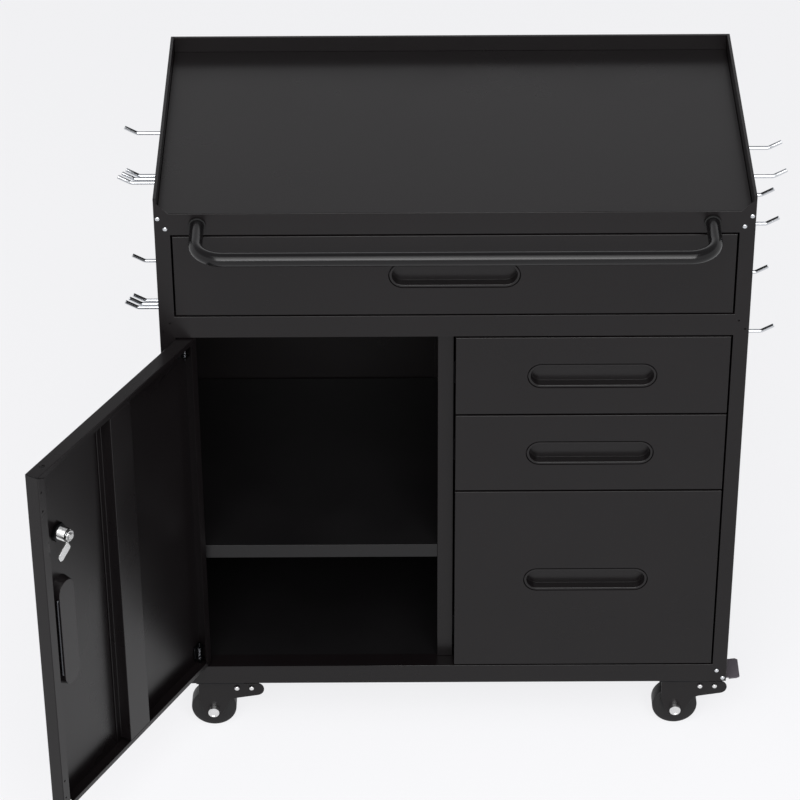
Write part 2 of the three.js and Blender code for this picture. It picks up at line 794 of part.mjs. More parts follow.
function singleHook(name, side, column, row, reach) {
  const [y, z] = [columnPlace(column), rowLevel(row)];
  return hook(name, side, [[y, z]], [[y, reach]], [z]);
}

function doubleHook(name, side, column, row, reach) {
  const [first, second] = [columnPlace(column), columnPlace(column + 2)];
  const z = rowLevel(row);
  return hook(name, side, [[first, z], [second, z]], [[first, reach], [second, reach]], [z]);
}

function tripleHook(name, side, column, row, reach) {
  const [y, z] = [columnPlace(column), rowLevel(row)];
  const prongs = [-1, 0, 1].map((step) => [y + step * tripleStep, reach - step * tripleShorter]);
  return hook(name, side, [[y, z]], prongs, [z]);
}

function hooks() {
  return [
    doubleHook('right_upper_double_hook', 1, 2, 0, 55),
    doubleHook('right_lower_double_hook', 1, 2, 2, 49),
    singleHook('right_middle_hook', 1, 5, 6, 53),
    singleHook('right_lower_hook', 1, 4, 8, 62),
    singleHook('left_upper_hook', -1, 7, 1, 63),
    singleHook('left_middle_hook', -1, 6, 6, 59),
    tripleHook('left_upper_triple_hook', -1, 2, 0, 52),
    tripleHook('left_lower_triple_hook', -1, 3, 6, 56),
  ];
}

// Castors, drawn with the kingpin on the Z axis and the floor at Z = 0

const kingpinInset = 60;
const kingpinX = halfWidth - kingpinInset;
const frontKingpinY = 30;
const rearKingpinY = bodyDepth - frontKingpinY;
const trail = 11.5;
const wheelRadius = 33;
const treadWidth = 24;
const treadRound = 2;
const rimRadius = 26;
const webInset = 3;
const hubRadius = 12;
const wheelSides = 20;
const axleRadius = 5;
const axleHeadRadius = 8.4;
const axleHead = 6.5;
const axleHeadRound = 0.7;
const nutLength = 5;
const forkWidth = 36;
const forkSheet = 2.5;
const forkBack = 21;
const forkFoot = 15;
const forkNeck = 26;
const forkShoulder = 52;
const forkFootTuckDegrees = 11;
const crownDrop = 8;
const castorPlateX = 70;
const castorPlateY = 56;
const castorPlateThickness = 2.7;
const raceRadius = 22;
const kingpinRadius = 5;
const kingpinHead = 8;
const kingpinHeadLength = 3;
const earPivotX = 35.3;
const earStopX = 56.8;
const earRootX = 33.5;
const earRootLevel = 55;
const earRunDegrees = 9;
const earTipX = 75;
const earRadius = 11;
const earDrop = 2.7;
const rivetRadius = 2.5;
const rivetHeadRadius = 4.2;
const rivetHead = 1.6;
const pinLevel = 74.5;

const forkTop = castorHeight - crownDrop;
const forkInner = forkWidth / 2 - forkSheet;

function castorPlate(name, x, y) {
  const top = castorHeight - seatGap;
  const under = top - castorPlateThickness;
  const plate = block([-castorPlateX / 2, castorPlateX / 2], [-castorPlateY / 2, castorPlateY / 2],
    [under, top]);
  const race = rodZ(raceRadius, [forkTop + seatGap, top - castorPlateThickness / 2], 0, 0, roundSides);
  const headTop = forkTop - forkSheet - seatGap;
  const pin = rodZ(kingpinRadius, [headTop - kingpinHeadLength / 2, under], 0, 0);
  const head = rodZ(kingpinHead, [headTop - kingpinHeadLength, headTop], 0, 0);
  const mesh = part(name, join([plate, race, pin, head]), zinc);
  mesh.position.set(x, y, 0);
  return mesh;
}

// One cheek of the fork, drawn from the axle's place in X and from the floor in Z
function cheekOutline(eared) {
  const tuck = THREE.MathUtils.degToRad(forkFootTuckDegrees);
  const run = THREE.MathUtils.degToRad(earRunDegrees);
  const shape = new THREE.Shape();
  shape.moveTo(-forkBack, forkTop);
  shape.lineTo(-forkBack, forkShoulder);
  shape.absarc(0, wheelRadius, forkFoot, Math.PI + tuck, 2 * Math.PI - tuck, false);
  if (eared) {
    shape.lineTo(forkNeck, forkShoulder);
    shape.lineTo(earRootX, earRootLevel);
    const earTop = forkTop - earDrop;
    shape.absarc(earTipX - earRadius, earTop - earRadius, earRadius, run - Math.PI / 2, Math.PI / 2, false);
    shape.lineTo(forkNeck + forkSheet, earTop);
    shape.lineTo(forkNeck + forkSheet, forkTop);
  } else {
    shape.lineTo(forkNeck + trail, forkShoulder);
    shape.lineTo(forkNeck + trail, forkTop);
  }
  return shape;
}

function fork(name, eared) {
  const cheek = cheekOutline(eared);
  const outer = forkWidth / 2;
  const cheeks = [-1, 1].map((side) => prismY(cheek, [side * forkInner, side * outer]));
  const crown = block([-forkBack, forkNeck + forkSheet], [-outer, outer], [forkTop - forkSheet, forkTop]);
  const pieces = [...cheeks, crown];
  if (eared) {
    pieces.push(rodY(rivetRadius, [-outer, outer], earStopX, pinLevel));
    for (const side of [-1, 1]) {
      pieces.push(rodY(rivetHeadRadius, [side * outer, side * (outer + rivetHead)], earStopX, pinLevel));
    }
  }
  const through = [-outer - overrun, outer + overrun];
  let solid = join(pieces);
  solid = solid.subtract(rodY(axleRadius + seatGap, through, 0, wheelRadius));
  solid = solid.subtract(rodZ(kingpinRadius + seatGap, [forkTop - crownDrop, forkTop + overrun], trail, 0));
  if (eared) solid = solid.subtract(rodY(rivetRadius + seatGap, through, earPivotX, pinLevel));
  return part(name, solid, powderCoat);
}

function axle(name) {
  const outer = forkWidth / 2 + seatGap;
  const front = -outer - axleHead;
  const profile = [
    [0, front], [axleHeadRadius - axleHeadRound, front], [axleHeadRadius, front + axleHeadRound],
    [axleHeadRadius, -outer], [axleRadius, -outer], [axleRadius, outer],
    [axleHeadRadius, outer], [axleHeadRadius, outer + nutLength], [0, outer + nutLength],
  ];
  return part(name, spinY(profile, smallSides).translate([0, 0, wheelRadius]), chrome);
}

function wheel(name) {
  const toCorner = 1 / Math.cos(Math.PI / wheelSides);
  const half = treadWidth / 2;
  const hub = forkInner - seatGap;
  const bore = axleRadius + seatGap;
  const profile = [
    [bore, -hub], [hubRadius, -hub], [hubRadius, webInset - half], [rimRadius - webInset, webInset - half],
    [rimRadius, -half], [wheelRadius - treadRound, -half], [wheelRadius, treadRound - half],
    [wheelRadius, half - treadRound], [wheelRadius - treadRound, half], [rimRadius, half],
    [rimRadius - webInset, half - webInset], [hubRadius, half - webInset], [hubRadius, hub], [bore, hub],
  ].map(([radius, y]) => [radius * toCorner, y]);
  const solid = spinY(profile, wheelSides, Math.PI / wheelSides);
  return part(name, solid.translate([0, 0, wheelRadius]), wheelRubber);
}

const pedalSheet = 2;
const pedalWidth = 44;
const pedalShift = 4;
const pedalTipX = 93;
const pedalTop = castorHeight - 2;
const pedalKneeX = 42;
const pedalKneeDrop = 6.5;
const pedalLip = 3;
const pedalFlareX = 77;
const pedalRound = 4;
const pedalTurnDegrees = 15;
const bossRadius = 5;
const shoeReach = 21;
const shoeThickness = 3;

function pedalLever(halfY) {
  const knee = pedalTop - pedalKneeDrop;
  const section = bentSheet([
    [earPivotX, pinLevel], [pedalKneeX, knee], [pedalTipX, pedalTop], [pedalTipX, pedalTop - pedalLip],
  ], -pedalSheet);
  return prismY(section, [-halfY, halfY]);
}

function brakePedal(name) {
  const half = forkInner - seatGap;
  const outer = forkWidth / 2;
  const flare = prismZ(outline([
    [pedalFlareX, -pedalWidth / 2], [pedalTipX - pedalRound, -pedalWidth / 2],
    [pedalTipX + overrun, pedalRound - pedalWidth / 2], [pedalTipX + overrun, pedalWidth / 2 - pedalRound],
    [pedalTipX - pedalRound, pedalWidth / 2], [pedalFlareX, pedalWidth / 2],
  ]), [0, castorHeight]);
  const narrow = pedalLever(half).subtract(block([pedalFlareX + overrun, pedalTipX + overrun],
    [-outer, outer], [0, castorHeight]));
  const wide = pedalLever(pedalWidth / 2).intersect(flare).translate([0, pedalShift, 0]);
  const boss = rodY(bossRadius, [-half, half], earPivotX, pinLevel);
  const toAxle = Math.atan2(wheelRadius - pinLevel, -earPivotX);
  const aim = toAxle + THREE.MathUtils.degToRad(pedalTurnDegrees);
  const [cx, cz] = [Math.cos(aim), Math.sin(aim)];
  const [nx, nz] = [-cz * shoeThickness / 2, cx * shoeThickness / 2];
  const [tx, tz] = [earPivotX + cx * shoeReach, pinLevel + cz * shoeReach];
  const shoe = prismY(outline([
    [earPivotX + nx, pinLevel + nz], [tx + nx, tz + nz], [tx - nx, tz - nz],
    [earPivotX - nx, pinLevel - nz],
  ]), [-treadWidth / 2, treadWidth / 2]);
  const pin = rodY(rivetRadius, [-outer - rivetHead, outer + rivetHead], earPivotX, pinLevel);
  const heads = [-1, 1].map((side) => rodY(rivetHeadRadius,
    [side * (outer + seatGap), side * (outer + seatGap + rivetHead)], earPivotX, pinLevel));
  return part(name, join([narrow, wide, boss, shoe, pin, ...heads]), pedalSteel);
}

function castor(place, side, kingpinY, braked) {
  const group = new THREE.Group();
  group.position.set(side * kingpinX - trail, kingpinY, 0);
  group.add(fork(`${place}_castor_fork`, braked), axle(`${place}_castor_axle`));
  group.add(wheel(`${place}_castor_wheel`));
  if (braked) group.add(brakePedal(`${place}_brake_pedal`));
  return [group, castorPlate(`${place}_castor_plate`, side * kingpinX, kingpinY)];
}

// The whole cabinet

function cabinet() {
  const body = new THREE.Group();
  body.position.z = castorHeight;
  body.add(frontFrame(), sidePanel('left_side_panel', -1), sidePanel('right_side_panel', 1));
  body.add(backPanel(), basePanel(), trayFloor(), middleDeck(), centrePartition(), shelf());
  body.add(pushHandle(), handleGrommet('left_handle_collar', -1), handleGrommet('right_handle_collar', 1));
  body.add(...drawers(), door(), ...hooks());
  const whole = new THREE.Group();
  whole.add(body);
  whole.add(...castor('front_left', -1, frontKingpinY, true));
  whole.add(...castor('front_right', 1, frontKingpinY, true));
  whole.add(...castor('rear_left', -1, rearKingpinY, false));
  whole.add(...castor('rear_right', 1, rearKingpinY, false));
  return whole;
}

// The origin is under the middle of the cabinet's box, on the floor
const model = cabinet();
const box = new THREE.Box3().setFromObject(model, true);
const middle = box.getCenter(new THREE.Vector3());
model.position.set(-middle.x, -middle.y, -box.min.z);
model.updateMatrixWorld(true);

export default model;
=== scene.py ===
# %% [markdown]
# # A rolling tool cabinet in black powder coat
#
# The cabinet is folded sheet steel: a body on four castors, a tray on top, drawers on the right
# and a door that stands open on the left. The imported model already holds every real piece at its
# real size. This lesson gives those pieces their looks: soft bends, pressed pulls, round tubes,
# turned castors, screws and springs, and a finish for each surface.
#
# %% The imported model
import json
import math

import bmesh
import bpy
from mathutils import Matrix, Vector


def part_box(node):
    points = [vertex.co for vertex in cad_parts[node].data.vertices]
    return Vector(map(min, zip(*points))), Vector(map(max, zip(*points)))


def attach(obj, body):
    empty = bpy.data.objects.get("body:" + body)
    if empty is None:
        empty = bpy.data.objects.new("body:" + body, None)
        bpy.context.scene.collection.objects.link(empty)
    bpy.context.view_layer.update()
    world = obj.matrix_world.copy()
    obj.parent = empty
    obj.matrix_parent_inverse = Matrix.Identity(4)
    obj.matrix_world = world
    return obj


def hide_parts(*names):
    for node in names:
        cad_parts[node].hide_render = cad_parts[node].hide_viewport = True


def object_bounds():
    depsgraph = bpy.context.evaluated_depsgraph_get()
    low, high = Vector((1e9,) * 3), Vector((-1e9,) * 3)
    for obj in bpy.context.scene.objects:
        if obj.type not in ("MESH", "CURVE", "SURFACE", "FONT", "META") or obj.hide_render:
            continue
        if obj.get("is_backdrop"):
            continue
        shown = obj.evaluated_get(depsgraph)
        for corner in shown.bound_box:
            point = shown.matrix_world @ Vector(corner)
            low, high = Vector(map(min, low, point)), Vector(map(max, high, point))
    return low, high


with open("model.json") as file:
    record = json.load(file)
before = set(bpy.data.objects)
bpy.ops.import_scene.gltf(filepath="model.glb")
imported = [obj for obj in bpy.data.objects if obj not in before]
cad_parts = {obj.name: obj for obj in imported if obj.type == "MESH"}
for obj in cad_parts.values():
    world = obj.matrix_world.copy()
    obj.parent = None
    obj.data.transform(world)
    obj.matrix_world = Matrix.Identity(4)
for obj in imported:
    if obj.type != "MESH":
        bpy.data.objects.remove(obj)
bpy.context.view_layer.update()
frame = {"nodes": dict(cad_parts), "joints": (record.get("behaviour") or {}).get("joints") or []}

# %% [markdown]
# Everything is placed from the cabinet's own front frame. Its box gives the middle of the body,
# the front face and the base, and `spot` turns a place in millimetres on the body into metres in
# the scene, so that all pieces share one set of axes.
#
# %% Places on the body, in millimetres
body_low, body_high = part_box("front_frame")
MIDDLE_X = (body_low.x + body_high.x) / 2
FRONT_Y = body_low.y
BASE_Z = body_low.z
MILLIMETRE = 0.001


def spot(x, y, h):
    """A point x right of the middle, y behind the front face and h above the base."""
    return Vector((MIDDLE_X + x * MILLIMETRE, FRONT_Y + y * MILLIMETRE, BASE_Z + h * MILLIMETRE))


def on_body(point):
    """The same three sizes in millimetres, for a point in the scene."""
    return ((point.x - MIDDLE_X) / MILLIMETRE, (point.y - FRONT_Y) / MILLIMETRE,
            (point.z - BASE_Z) / MILLIMETRE)


def node_box(name):
    """A node's lowest and highest corners in millimetres on the body."""
    low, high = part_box(name)
    return on_body(low), on_body(high)


BODY_WIDTH = (body_high.x - body_low.x) / MILLIMETRE
HALF_WIDTH = BODY_WIDTH / 2
SHEET = 1.5
print("body", round(BODY_WIDTH), "mm wide, base", round(BASE_Z / MILLIMETRE), "mm above the floor")

# %% [markdown]
# The camera looks down on the front from about three metres up with a long lens, as the
# photograph does. A long lens keeps the posts almost parallel, so the small lean of the verticals
# is all that tells how far away the camera stands. Three angles turn a plain set of axes.
#
# %% Camera
CAMERA_X = -67.8
CAMERA_Y = -3768.2
CAMERA_H = 3121.8
CAMERA_PITCH = math.radians(34.7932)
CAMERA_YAW = math.radians(-0.0983)
CAMERA_ROLL = math.radians(-0.3339)
SENSOR = 36.0
LENS = 149.96


def camera_turn(pitch, yaw, roll):
    """The camera's axes: it looks along -Z, with +X to the right of the picture."""
    level_share = math.cos(pitch)
    ahead = Vector((math.sin(yaw) * level_share, math.cos(yaw) * level_share, -math.sin(pitch)))
    level = Vector((math.cos(yaw), -math.sin(yaw), 0))
    above = level.cross(ahead)
    right = level * math.cos(roll) + above * math.sin(roll)
    up = above * math.cos(roll) - level * math.sin(roll)
    return Matrix((right, up, -ahead)).transposed()


camera_data = bpy.data.cameras.new("camera")
camera_data.lens = LENS
camera_data.sensor_width = SENSOR
camera_data.clip_end = 100
camera = bpy.data.objects.new("camera", camera_data)
turn = camera_turn(CAMERA_PITCH, CAMERA_YAW, CAMERA_ROLL)
camera.matrix_world = Matrix.Translation(spot(CAMERA_X, CAMERA_Y, CAMERA_H)) @ turn.to_4x4()
bpy.context.collection.objects.link(camera)
bpy.context.scene.camera = camera
bpy.context.scene.view_settings.view_transform = "Standard"
print("camera", [round(value, 3) for value in camera.location])

# %% [markdown]
# Colours are written as they look on a screen, in hex. The shader works in linear light, so one
# function turns them. Another adds a node with its settings, its constants and its links, which
# keeps each material short enough to read.
#
# %% Colour and node helpers


def linear(code):
    """An sRGB hex colour as the linear RGBA that a shader takes."""
    channels = [int(code[i:i + 2], 16) / 255 for i in (0, 2, 4)]
    curved = [c / 12.92 if c <= 0.04045 else ((c + 0.055) / 1.055) ** 2.4 for c in channels]
    return (*curved, 1.0)


def add(tree, kind, constants=None, links=None, **settings):
    """One node with its settings, its constant inputs and the sockets that feed it."""
    node = tree.nodes.new(kind)
    for key, value in settings.items():
        setattr(node, key, value)
    for key, value in (constants or {}).items():
        node.inputs[key].default_value = value
    for key, source in (links or {}).items():
        tree.links.new(source, node.inputs[key])
    return node


# %% [markdown]
# The finishes here are built alike. One noise moves the colour and the gloss together, as uneven
# film and wear do, and a finer one gives the relief that breaks up a highlight. `surface` is that
# recipe, and each finish below has its own sizes for it. A noise stays mostly between 0.3 and 0.7,
# so the gloss runs from its lowest to its highest value over that reach.
#
# %% The recipe of a finish


def per_metre(size):
    """The scale of a noise whose cells are about this many millimetres across."""
    return 1 / (size * MILLIMETRE)


NOISE_REACH = (0.3, 0.7)


def surface(name, hues, gloss, spread, relief, bump, constants):
    """A material from two hex colours and the lowest and highest roughness.

    spread and relief are each the size in millimetres and the detail of a noise, and bump is a
    strength and a height in millimetres. The constants go on the shader as they are.
    """
    material = bpy.data.materials.new(name)
    material.use_nodes = True
    tree = material.node_tree
    shader = tree.nodes["Principled BSDF"]
    for key, value in constants.items():
        shader.inputs[key].default_value = value
    place = add(tree, "ShaderNodeTexCoord").outputs["Object"]
    tone, form = [add(tree, "ShaderNodeTexNoise", {"Scale": per_metre(size), "Detail": detail},
                      {"Vector": place}).outputs["Fac"] for size, detail in (spread, relief)]
    tint = add(tree, "ShaderNodeMix", {6: linear(hues[0]), 7: linear(hues[1])}, {0: tone},
               data_type="RGBA")
    tree.links.new(tint.outputs[2], shader.inputs["Base Color"])
    if gloss[0] == gloss[1]:
        shader.inputs["Roughness"].default_value = gloss[0]
    else:
        span = add(tree, "ShaderNodeMapRange", {1: NOISE_REACH[0], 2: NOISE_REACH[1],
                                                3: gloss[0], 4: gloss[1]}, {0: tone})
        tree.links.new(span.outputs[0], shader.inputs["Roughness"])
    rise = add(tree, "ShaderNodeBump", {"Strength": bump[0], "Distance": bump[1] * MILLIMETRE},
               {"Height": form})
    tree.links.new(rise.outputs["Normal"], shader.inputs["Normal"])
    return material


# %% [markdown]
# The body is polyester powder coat, sprayed dry and baked on steel. The photograph shows a coat
# that is nearly black by itself: almost all its tone is the blurred reflection of the white room,
# so the colours are very dark and the roughness sets the look. The matting agent in the resin
# weakens the mirror part, so the IOR of the black coats is about 1.36 and not the resin's 1.5. A
# real peel of about 2 mm is hardly more than a pixel here, so it is drawn a little coarser. The
# film varies over 160 mm, as handling and uneven spraying leave it. The brake pedals are dipped
# instead, in a grey coat that is lighter by itself.
#
# %% Powder coat
FILM = (160.0, 3.0)
PEEL = (3.0, 2.0)
PEEL_STRENGTH = 0.25


def powder_coat(name, dark, light, gloss, peel_height, ior):
    """Baked or dipped coat on steel: gloss is the lowest and highest roughness."""
    bump = (PEEL_STRENGTH, peel_height)
    return surface(name, (dark, light), gloss, FILM, PEEL, bump, {"IOR": ior})


SATIN_COAT = powder_coat("satin_black_powder_coat", "0c090a", "120f10", (0.26, 0.33), 0.03, 1.345)
INNER_COAT = powder_coat("inner_black_powder_coat", "0c0b0c", "121112", (0.36, 0.46), 0.05, 1.37)
CUP_COAT = powder_coat("smooth_black_cup_coat", "100e0f", "161314", (0.23, 0.29), 0.01, 1.36)
TUBE_COAT = powder_coat("semi_gloss_tube_coat", "0b0a0b", "100f10", (0.17, 0.21), 0.01, 1.36)
PEDAL_COAT = powder_coat("grey_cathodic_dip_coat", "504b51", "59545a", (0.36, 0.46), 0.03, 1.45)
print("coats", [coat.name for coat in (SATIN_COAT, INNER_COAT, CUP_COAT, TUBE_COAT, PEDAL_COAT)])

# %% [markdown]
# The bright parts are plated steel. Chrome over nickel is a near mirror with a slight blue, and
# satin nickel is duller. The runners, the castor plates and the hinge brackets are zinc plate that is
# drawn nearly black, a painted shade for the shade they sit in; the nut and the rivets share this
# dark zinc. Springs are bare steel, which tempering in oil leaves dark and bluish. All are metals,
# so the colour is the reflection's tint and the IOR stays at its default. Rolled or drawn steel has
# soft waves, which a weak bump gives back.
#
# %% Plated and tempered steel
BLOOM = (9.0, 4.0)
WAVE = (6.0, 2.0)
WAVE_STRENGTH = 0.2


def steel(name, dark, light, gloss, wave_height):
    """Plated or tempered steel: gloss is the lowest and highest roughness."""
    bump = (WAVE_STRENGTH, wave_height)
    return surface(name, (dark, light), gloss, BLOOM, WAVE, bump, {"Metallic": 1.0})


CHROME = steel("bright_chrome_plate", "b9bcc0", "d6d8db", (0.08, 0.16), 0.03)
NICKEL = steel("satin_nickel_plate", "d0d0d0", "eaeae9", (0.18, 0.3), 0.03)
# Nearly black zinc: painted shade on the runners, castor plates and hinge brackets, and the dark finish
# of the nut and rivets.
BLACK_ZINC_AND_SHADE = steel("black_zinc_plate_and_painted_shade", "1c1c1e", "2a2a2c", (0.35, 0.5), 0.05)
SPRING_STEEL = steel("tempered_spring_steel", "45464a", "58595c", (0.22, 0.32), 0.02)
print("metals", [metal.name for metal in (CHROME, NICKEL, BLACK_ZINC_AND_SHADE, SPRING_STEEL)])

# %% [markdown]
# The castor wheels are moulded in one go, hub and tread, from a dark polymer with a fine matte
# grain. The collars round the handle are moulded nylon. Such plastics have an IOR near 1.5; it is
# lowered to 1.4, because the grain breaks up the mirror part. The grain is about half a
# millimetre across and is drawn at 1.2 mm, so that it shows.
#
# %% Moulded plastic
SCUFF = (6.0, 5.0)
GRAIN = (1.2, 3.0)
GRAIN_STRENGTH = 0.3
PLASTIC_IOR = 1.4


def moulded(name, dark, light, roughness, grain_height):
    """A matte moulded surface with a fine grain and one roughness."""
    bump = (GRAIN_STRENGTH, grain_height)
    return surface(name, (dark, light), (roughness, roughness), SCUFF, GRAIN, bump,
                   {"IOR": PLASTIC_IOR})


WHEEL_POLYMER = moulded("moulded_wheel_polymer", "0c0b0c", "131213", 0.5, 0.05)
NYLON = moulded("moulded_black_nylon", "060606", "0a0a0a", 0.65, 0.03)
print("plastics", [plastic.name for plastic in (WHEEL_POLYMER, NYLON)])

# %% [markdown]
# Each piece becomes one plain mesh whose place is in its points. `finish_mesh` gives it a
# material, smooth shading that breaks at real edges, and a body to ride on. `round_edges` adds a
# Bevel modifier, because no folded, cast or cut edge is perfectly sharp and the thin light line
# along an edge is most of what the eye sees on black sheet.
#
# %% Finishing helpers
BREAK_ANGLE = math.radians(32)


def finish_mesh(name, mesh, material, body, nodes=()):
    """Names the piece, shades it, and lets it ride on its body and stand for its nodes."""
    piece = bpy.data.objects.new(name, mesh)
    bpy.context.collection.objects.link(piece)
    mesh.materials.clear()
    mesh.materials.append(material)
    mesh.shade_smooth()
    mesh.set_sharp_from_angle(angle=BREAK_ANGLE)
    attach(piece, body)
    if nodes:
        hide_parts(*nodes)
    return piece


def choose_long_edges(mesh, shortest):
    """Marks the sharp edges that are longer than some millimetres for a Bevel modifier."""
    work = bmesh.new()
    work.from_mesh(mesh)
    weight = work.edges.layers.float.new("bevel_weight_edge")
    for edge in work.edges:
        is_long = edge.calc_length() > shortest * MILLIMETRE
        edge[weight] = float(is_long and edge.calc_face_angle(0) > BREAK_ANGLE)
    work.to_mesh(mesh)
    work.free()


def round_edges(piece, radius, segments=2, shortest=0):
    """Rounds the edges of a piece by a radius in millimetres, or only its longer edges."""
    bevel = piece.modifiers.new("edge_round", "BEVEL")
    bevel.width = radius * MILLIMETRE
    bevel.segments = segments
    bevel.limit_method = "WEIGHT" if shortest else "ANGLE"
    bevel.angle_limit = BREAK_ANGLE
    bevel.harden_normals = True
    bevel.use_clamp_overlap = False
    if shortest:
        choose_long_edges(piece.data, shortest)


def keep_flats(piece):
    """Lets the largest face rule the normals, so that flat skin beside a small round stays flat."""
    weighted = piece.modifiers.new("keep_flats", "WEIGHTED_NORMAL")
    weighted.mode = "FACE_AREA"
    weighted.weight = 100
    weighted.keep_sharp = True


def mesh_from(name, build):
    """A mesh that one function builds in an empty bmesh, with its faces turned outwards."""
    work = bmesh.new()
    build(work)
    bmesh.ops.recalc_face_normals(work, faces=work.faces)
    mesh = bpy.data.meshes.new(name)
    work.to_mesh(mesh)
    work.free()
    return mesh


# %% [markdown]
# Most of the cabinet is flat sheet with square folds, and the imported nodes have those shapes
# exactly. A node is stored as loose triangles, so a copy is merged, its flat stretches are
# dissolved back into whole faces, and only then can a bevel follow the true edges. A bevel folds
# over where an edge is shorter than its width. So the sheets with round holes get it on their
# long edges only, and in some other nodes points closer than half a millimetre are merged first.
#
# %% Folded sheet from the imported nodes
MERGE_DISTANCE = 0.02
FLAT_ANGLE = math.radians(0.5)


def whole_faces(node, merge=MERGE_DISTANCE):
    """A copy of a node's mesh with its triangles merged into whole flat faces."""
    work = bmesh.new()
    work.from_mesh(frame["nodes"][node].data)
    bmesh.ops.remove_doubles(work, verts=work.verts, dist=merge * MILLIMETRE)
    bmesh.ops.dissolve_limit(work, angle_limit=FLAT_ANGLE, verts=work.verts, edges=work.edges)
    mesh = bpy.data.meshes.new(node)
    work.to_mesh(mesh)
    work.free()
    return mesh


def dress_node(node, body, material, radius, segments=2, merge=MERGE_DISTANCE, shortest=0):
    """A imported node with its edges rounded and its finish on."""
    piece = finish_mesh(f"{node}_sheet", whole_faces(node, merge), material, body, [node])
    round_edges(piece, radius, segments, shortest)


FOLD_ROUND = 0.72
HEM_ROUND = 0.45
FOLD_STEPS = 3
HOLE_STEP = 2.5
SMALL_STEP = 0.5
for node in ("front_frame", "tray_floor", "centre_partition"):
    dress_node(node, "cabinet", SATIN_COAT, FOLD_ROUND, FOLD_STEPS, shortest=HOLE_STEP)
for node in ("left_side_panel", "right_side_panel", "back_panel"):
    dress_node(node, "cabinet", SATIN_COAT, HEM_ROUND, FOLD_STEPS)
for node in ("base_panel", "middle_deck", "shelf"):
    dress_node(node, "cabinet", INNER_COAT, HEM_ROUND, FOLD_STEPS, SMALL_STEP)
DRAWERS = ("top_drawer", "upper_drawer", "middle_drawer", "deep_drawer")
for drawer in DRAWERS:
    dress_node(f"{drawer}_box", drawer, INNER_COAT, FOLD_ROUND / 2)
    for side in ("left", "right"):
        # The runners' zinc is drawn nearly black as painted shade.
        dress_node(f"{drawer}_{side}_runner", "cabinet", BLACK_ZINC_AND_SHADE, FOLD_ROUND / 2)
print("folded sheet pieces dressed")

# %% [markdown]
# The drawer fronts and the door are shallow pans with a pull let into the skin. The photograph
# shows a fine dark seam round each pull and a flush ring inside it, so the pull is a drawn cup
# set in a hole of the pan. Both are built as rings of one outline, a stadium, that shrink or grow
# with depth: the cup is a deep seam, a flange, a round lip, a wall and a floor. Working in rings
# keeps the lip's highlight smooth, which a boolean cut would not.
#
# %% Rings of a pressed pan and its cup
PULL_LENGTH = 178.0
PULL_WIDTH = 40.0
PULL_DEPTH = 12.5
PULL_ARC_STEPS = 20
BEND_RADIUS = 1.2
ROUND_STEPS = 4
SEAM_WIDTH = 1.5
SEAM_DEPTH = 4.0
SEAT_OUT = 0.3
SEAM_WALL = 0.9
FLANGE_WIDTH = 4.7
FLANGE_DIP = 0.15
FLANGE_THICK = 0.5
LIP_ROUND = 1.3
FLOOR_ROUND = 0.3
WALL_TAPER = 0.4
CUP_BACK_INSET = 2.8
CUP_BACK_ROUND = 0.5


def arc(centre, radius, start, end, steps=ROUND_STEPS):
    """Points on an arc in the plane of inset and depth, its angles in degrees."""
    angles = [math.radians(start + (end - start) * step / steps) for step in range(steps + 1)]
    return [(centre[0] + radius * math.cos(a), centre[1] + radius * math.sin(a)) for a in angles]


def cup_profile():
    """Inset and depth from the middle of the cup's back, round its flange, to its floor."""
    back = PULL_DEPTH + SHEET
    lip_centre = (FLANGE_WIDTH - LIP_ROUND, FLANGE_DIP + LIP_ROUND)
    floor_centre = (FLANGE_WIDTH + WALL_TAPER + FLOOR_ROUND, PULL_DEPTH - FLOOR_ROUND)
    back_centre = (CUP_BACK_INSET + CUP_BACK_ROUND, back - CUP_BACK_ROUND)
    under = FLANGE_DIP + FLANGE_THICK
    seat = [(-SEAT_OUT, SHEET), (0, SHEET)]
    seam = [(SEAM_WALL, SEAM_DEPTH), (SEAM_WIDTH + SHEET, SEAM_DEPTH),
            (SEAM_WIDTH + SHEET, under), (SEAM_WIDTH, under), (SEAM_WIDTH, FLANGE_DIP)]
    return (arc(back_centre, CUP_BACK_ROUND, 90, 180) + seat + seam
            + arc(lip_centre, LIP_ROUND, -90, 0) + arc(floor_centre, FLOOR_ROUND, 180, 90))


def stadium(centre, inset, upright):
    """Points round the pull's outline at one inset, as (along, up) pairs on the front."""
    radius = PULL_WIDTH / 2 - inset
    straight = (PULL_LENGTH - PULL_WIDTH) / 2
    points = []
    for side in (1, -1):
        for step in range(PULL_ARC_STEPS + 1):
            angle = side * math.pi / 2 - math.pi * step / PULL_ARC_STEPS
            along = side * straight + radius * math.cos(angle)
            across = radius * math.sin(angle)
            if upright:
                along, across = -across, along
            points.append((centre[0] + along, centre[1] + across))
    return points


def rectangle(span, insets):
    """The four corners of a rectangle (left, right, low, high) drawn in by four insets."""
    left, right, low, high = span
    return [(left + insets[0], low + insets[2]), (right - insets[1], low + insets[2]),
            (right - insets[1], high - insets[3]), (left + insets[0], high - insets[3])]


def strip(work, rings):
    """Faces between rings of points that have the same count."""
    rows = [[work.verts.new(point) for point in ring] for ring in rings]
    for lower, upper in zip(rows, rows[1:]):
        for i in range(len(lower)):
            j = (i + 1) % len(lower)
            work.faces.new((lower[i], lower[j], upper[j], upper[i]))
    return rows[0], rows[-1]


def closed_body(work, rings):
    """A body from rings of points: faces between them and one across each end."""
    for end in strip(work, rings):
        work.faces.new(end)


def loop_edges(work, ring):
    """The edges round one ring of vertices."""
    edges = []
    for i in range(len(ring)):
        edges.append(work.edges.get((ring[i], ring[(i + 1) % len(ring)])))
    return edges


def fill_between(work, outer, inner):
    """Flat faces between two rings that lie in one plane."""
    edges = loop_edges(work, outer) + loop_edges(work, inner)
    bmesh.ops.triangle_fill(work, edges=edges, use_beauty=True)


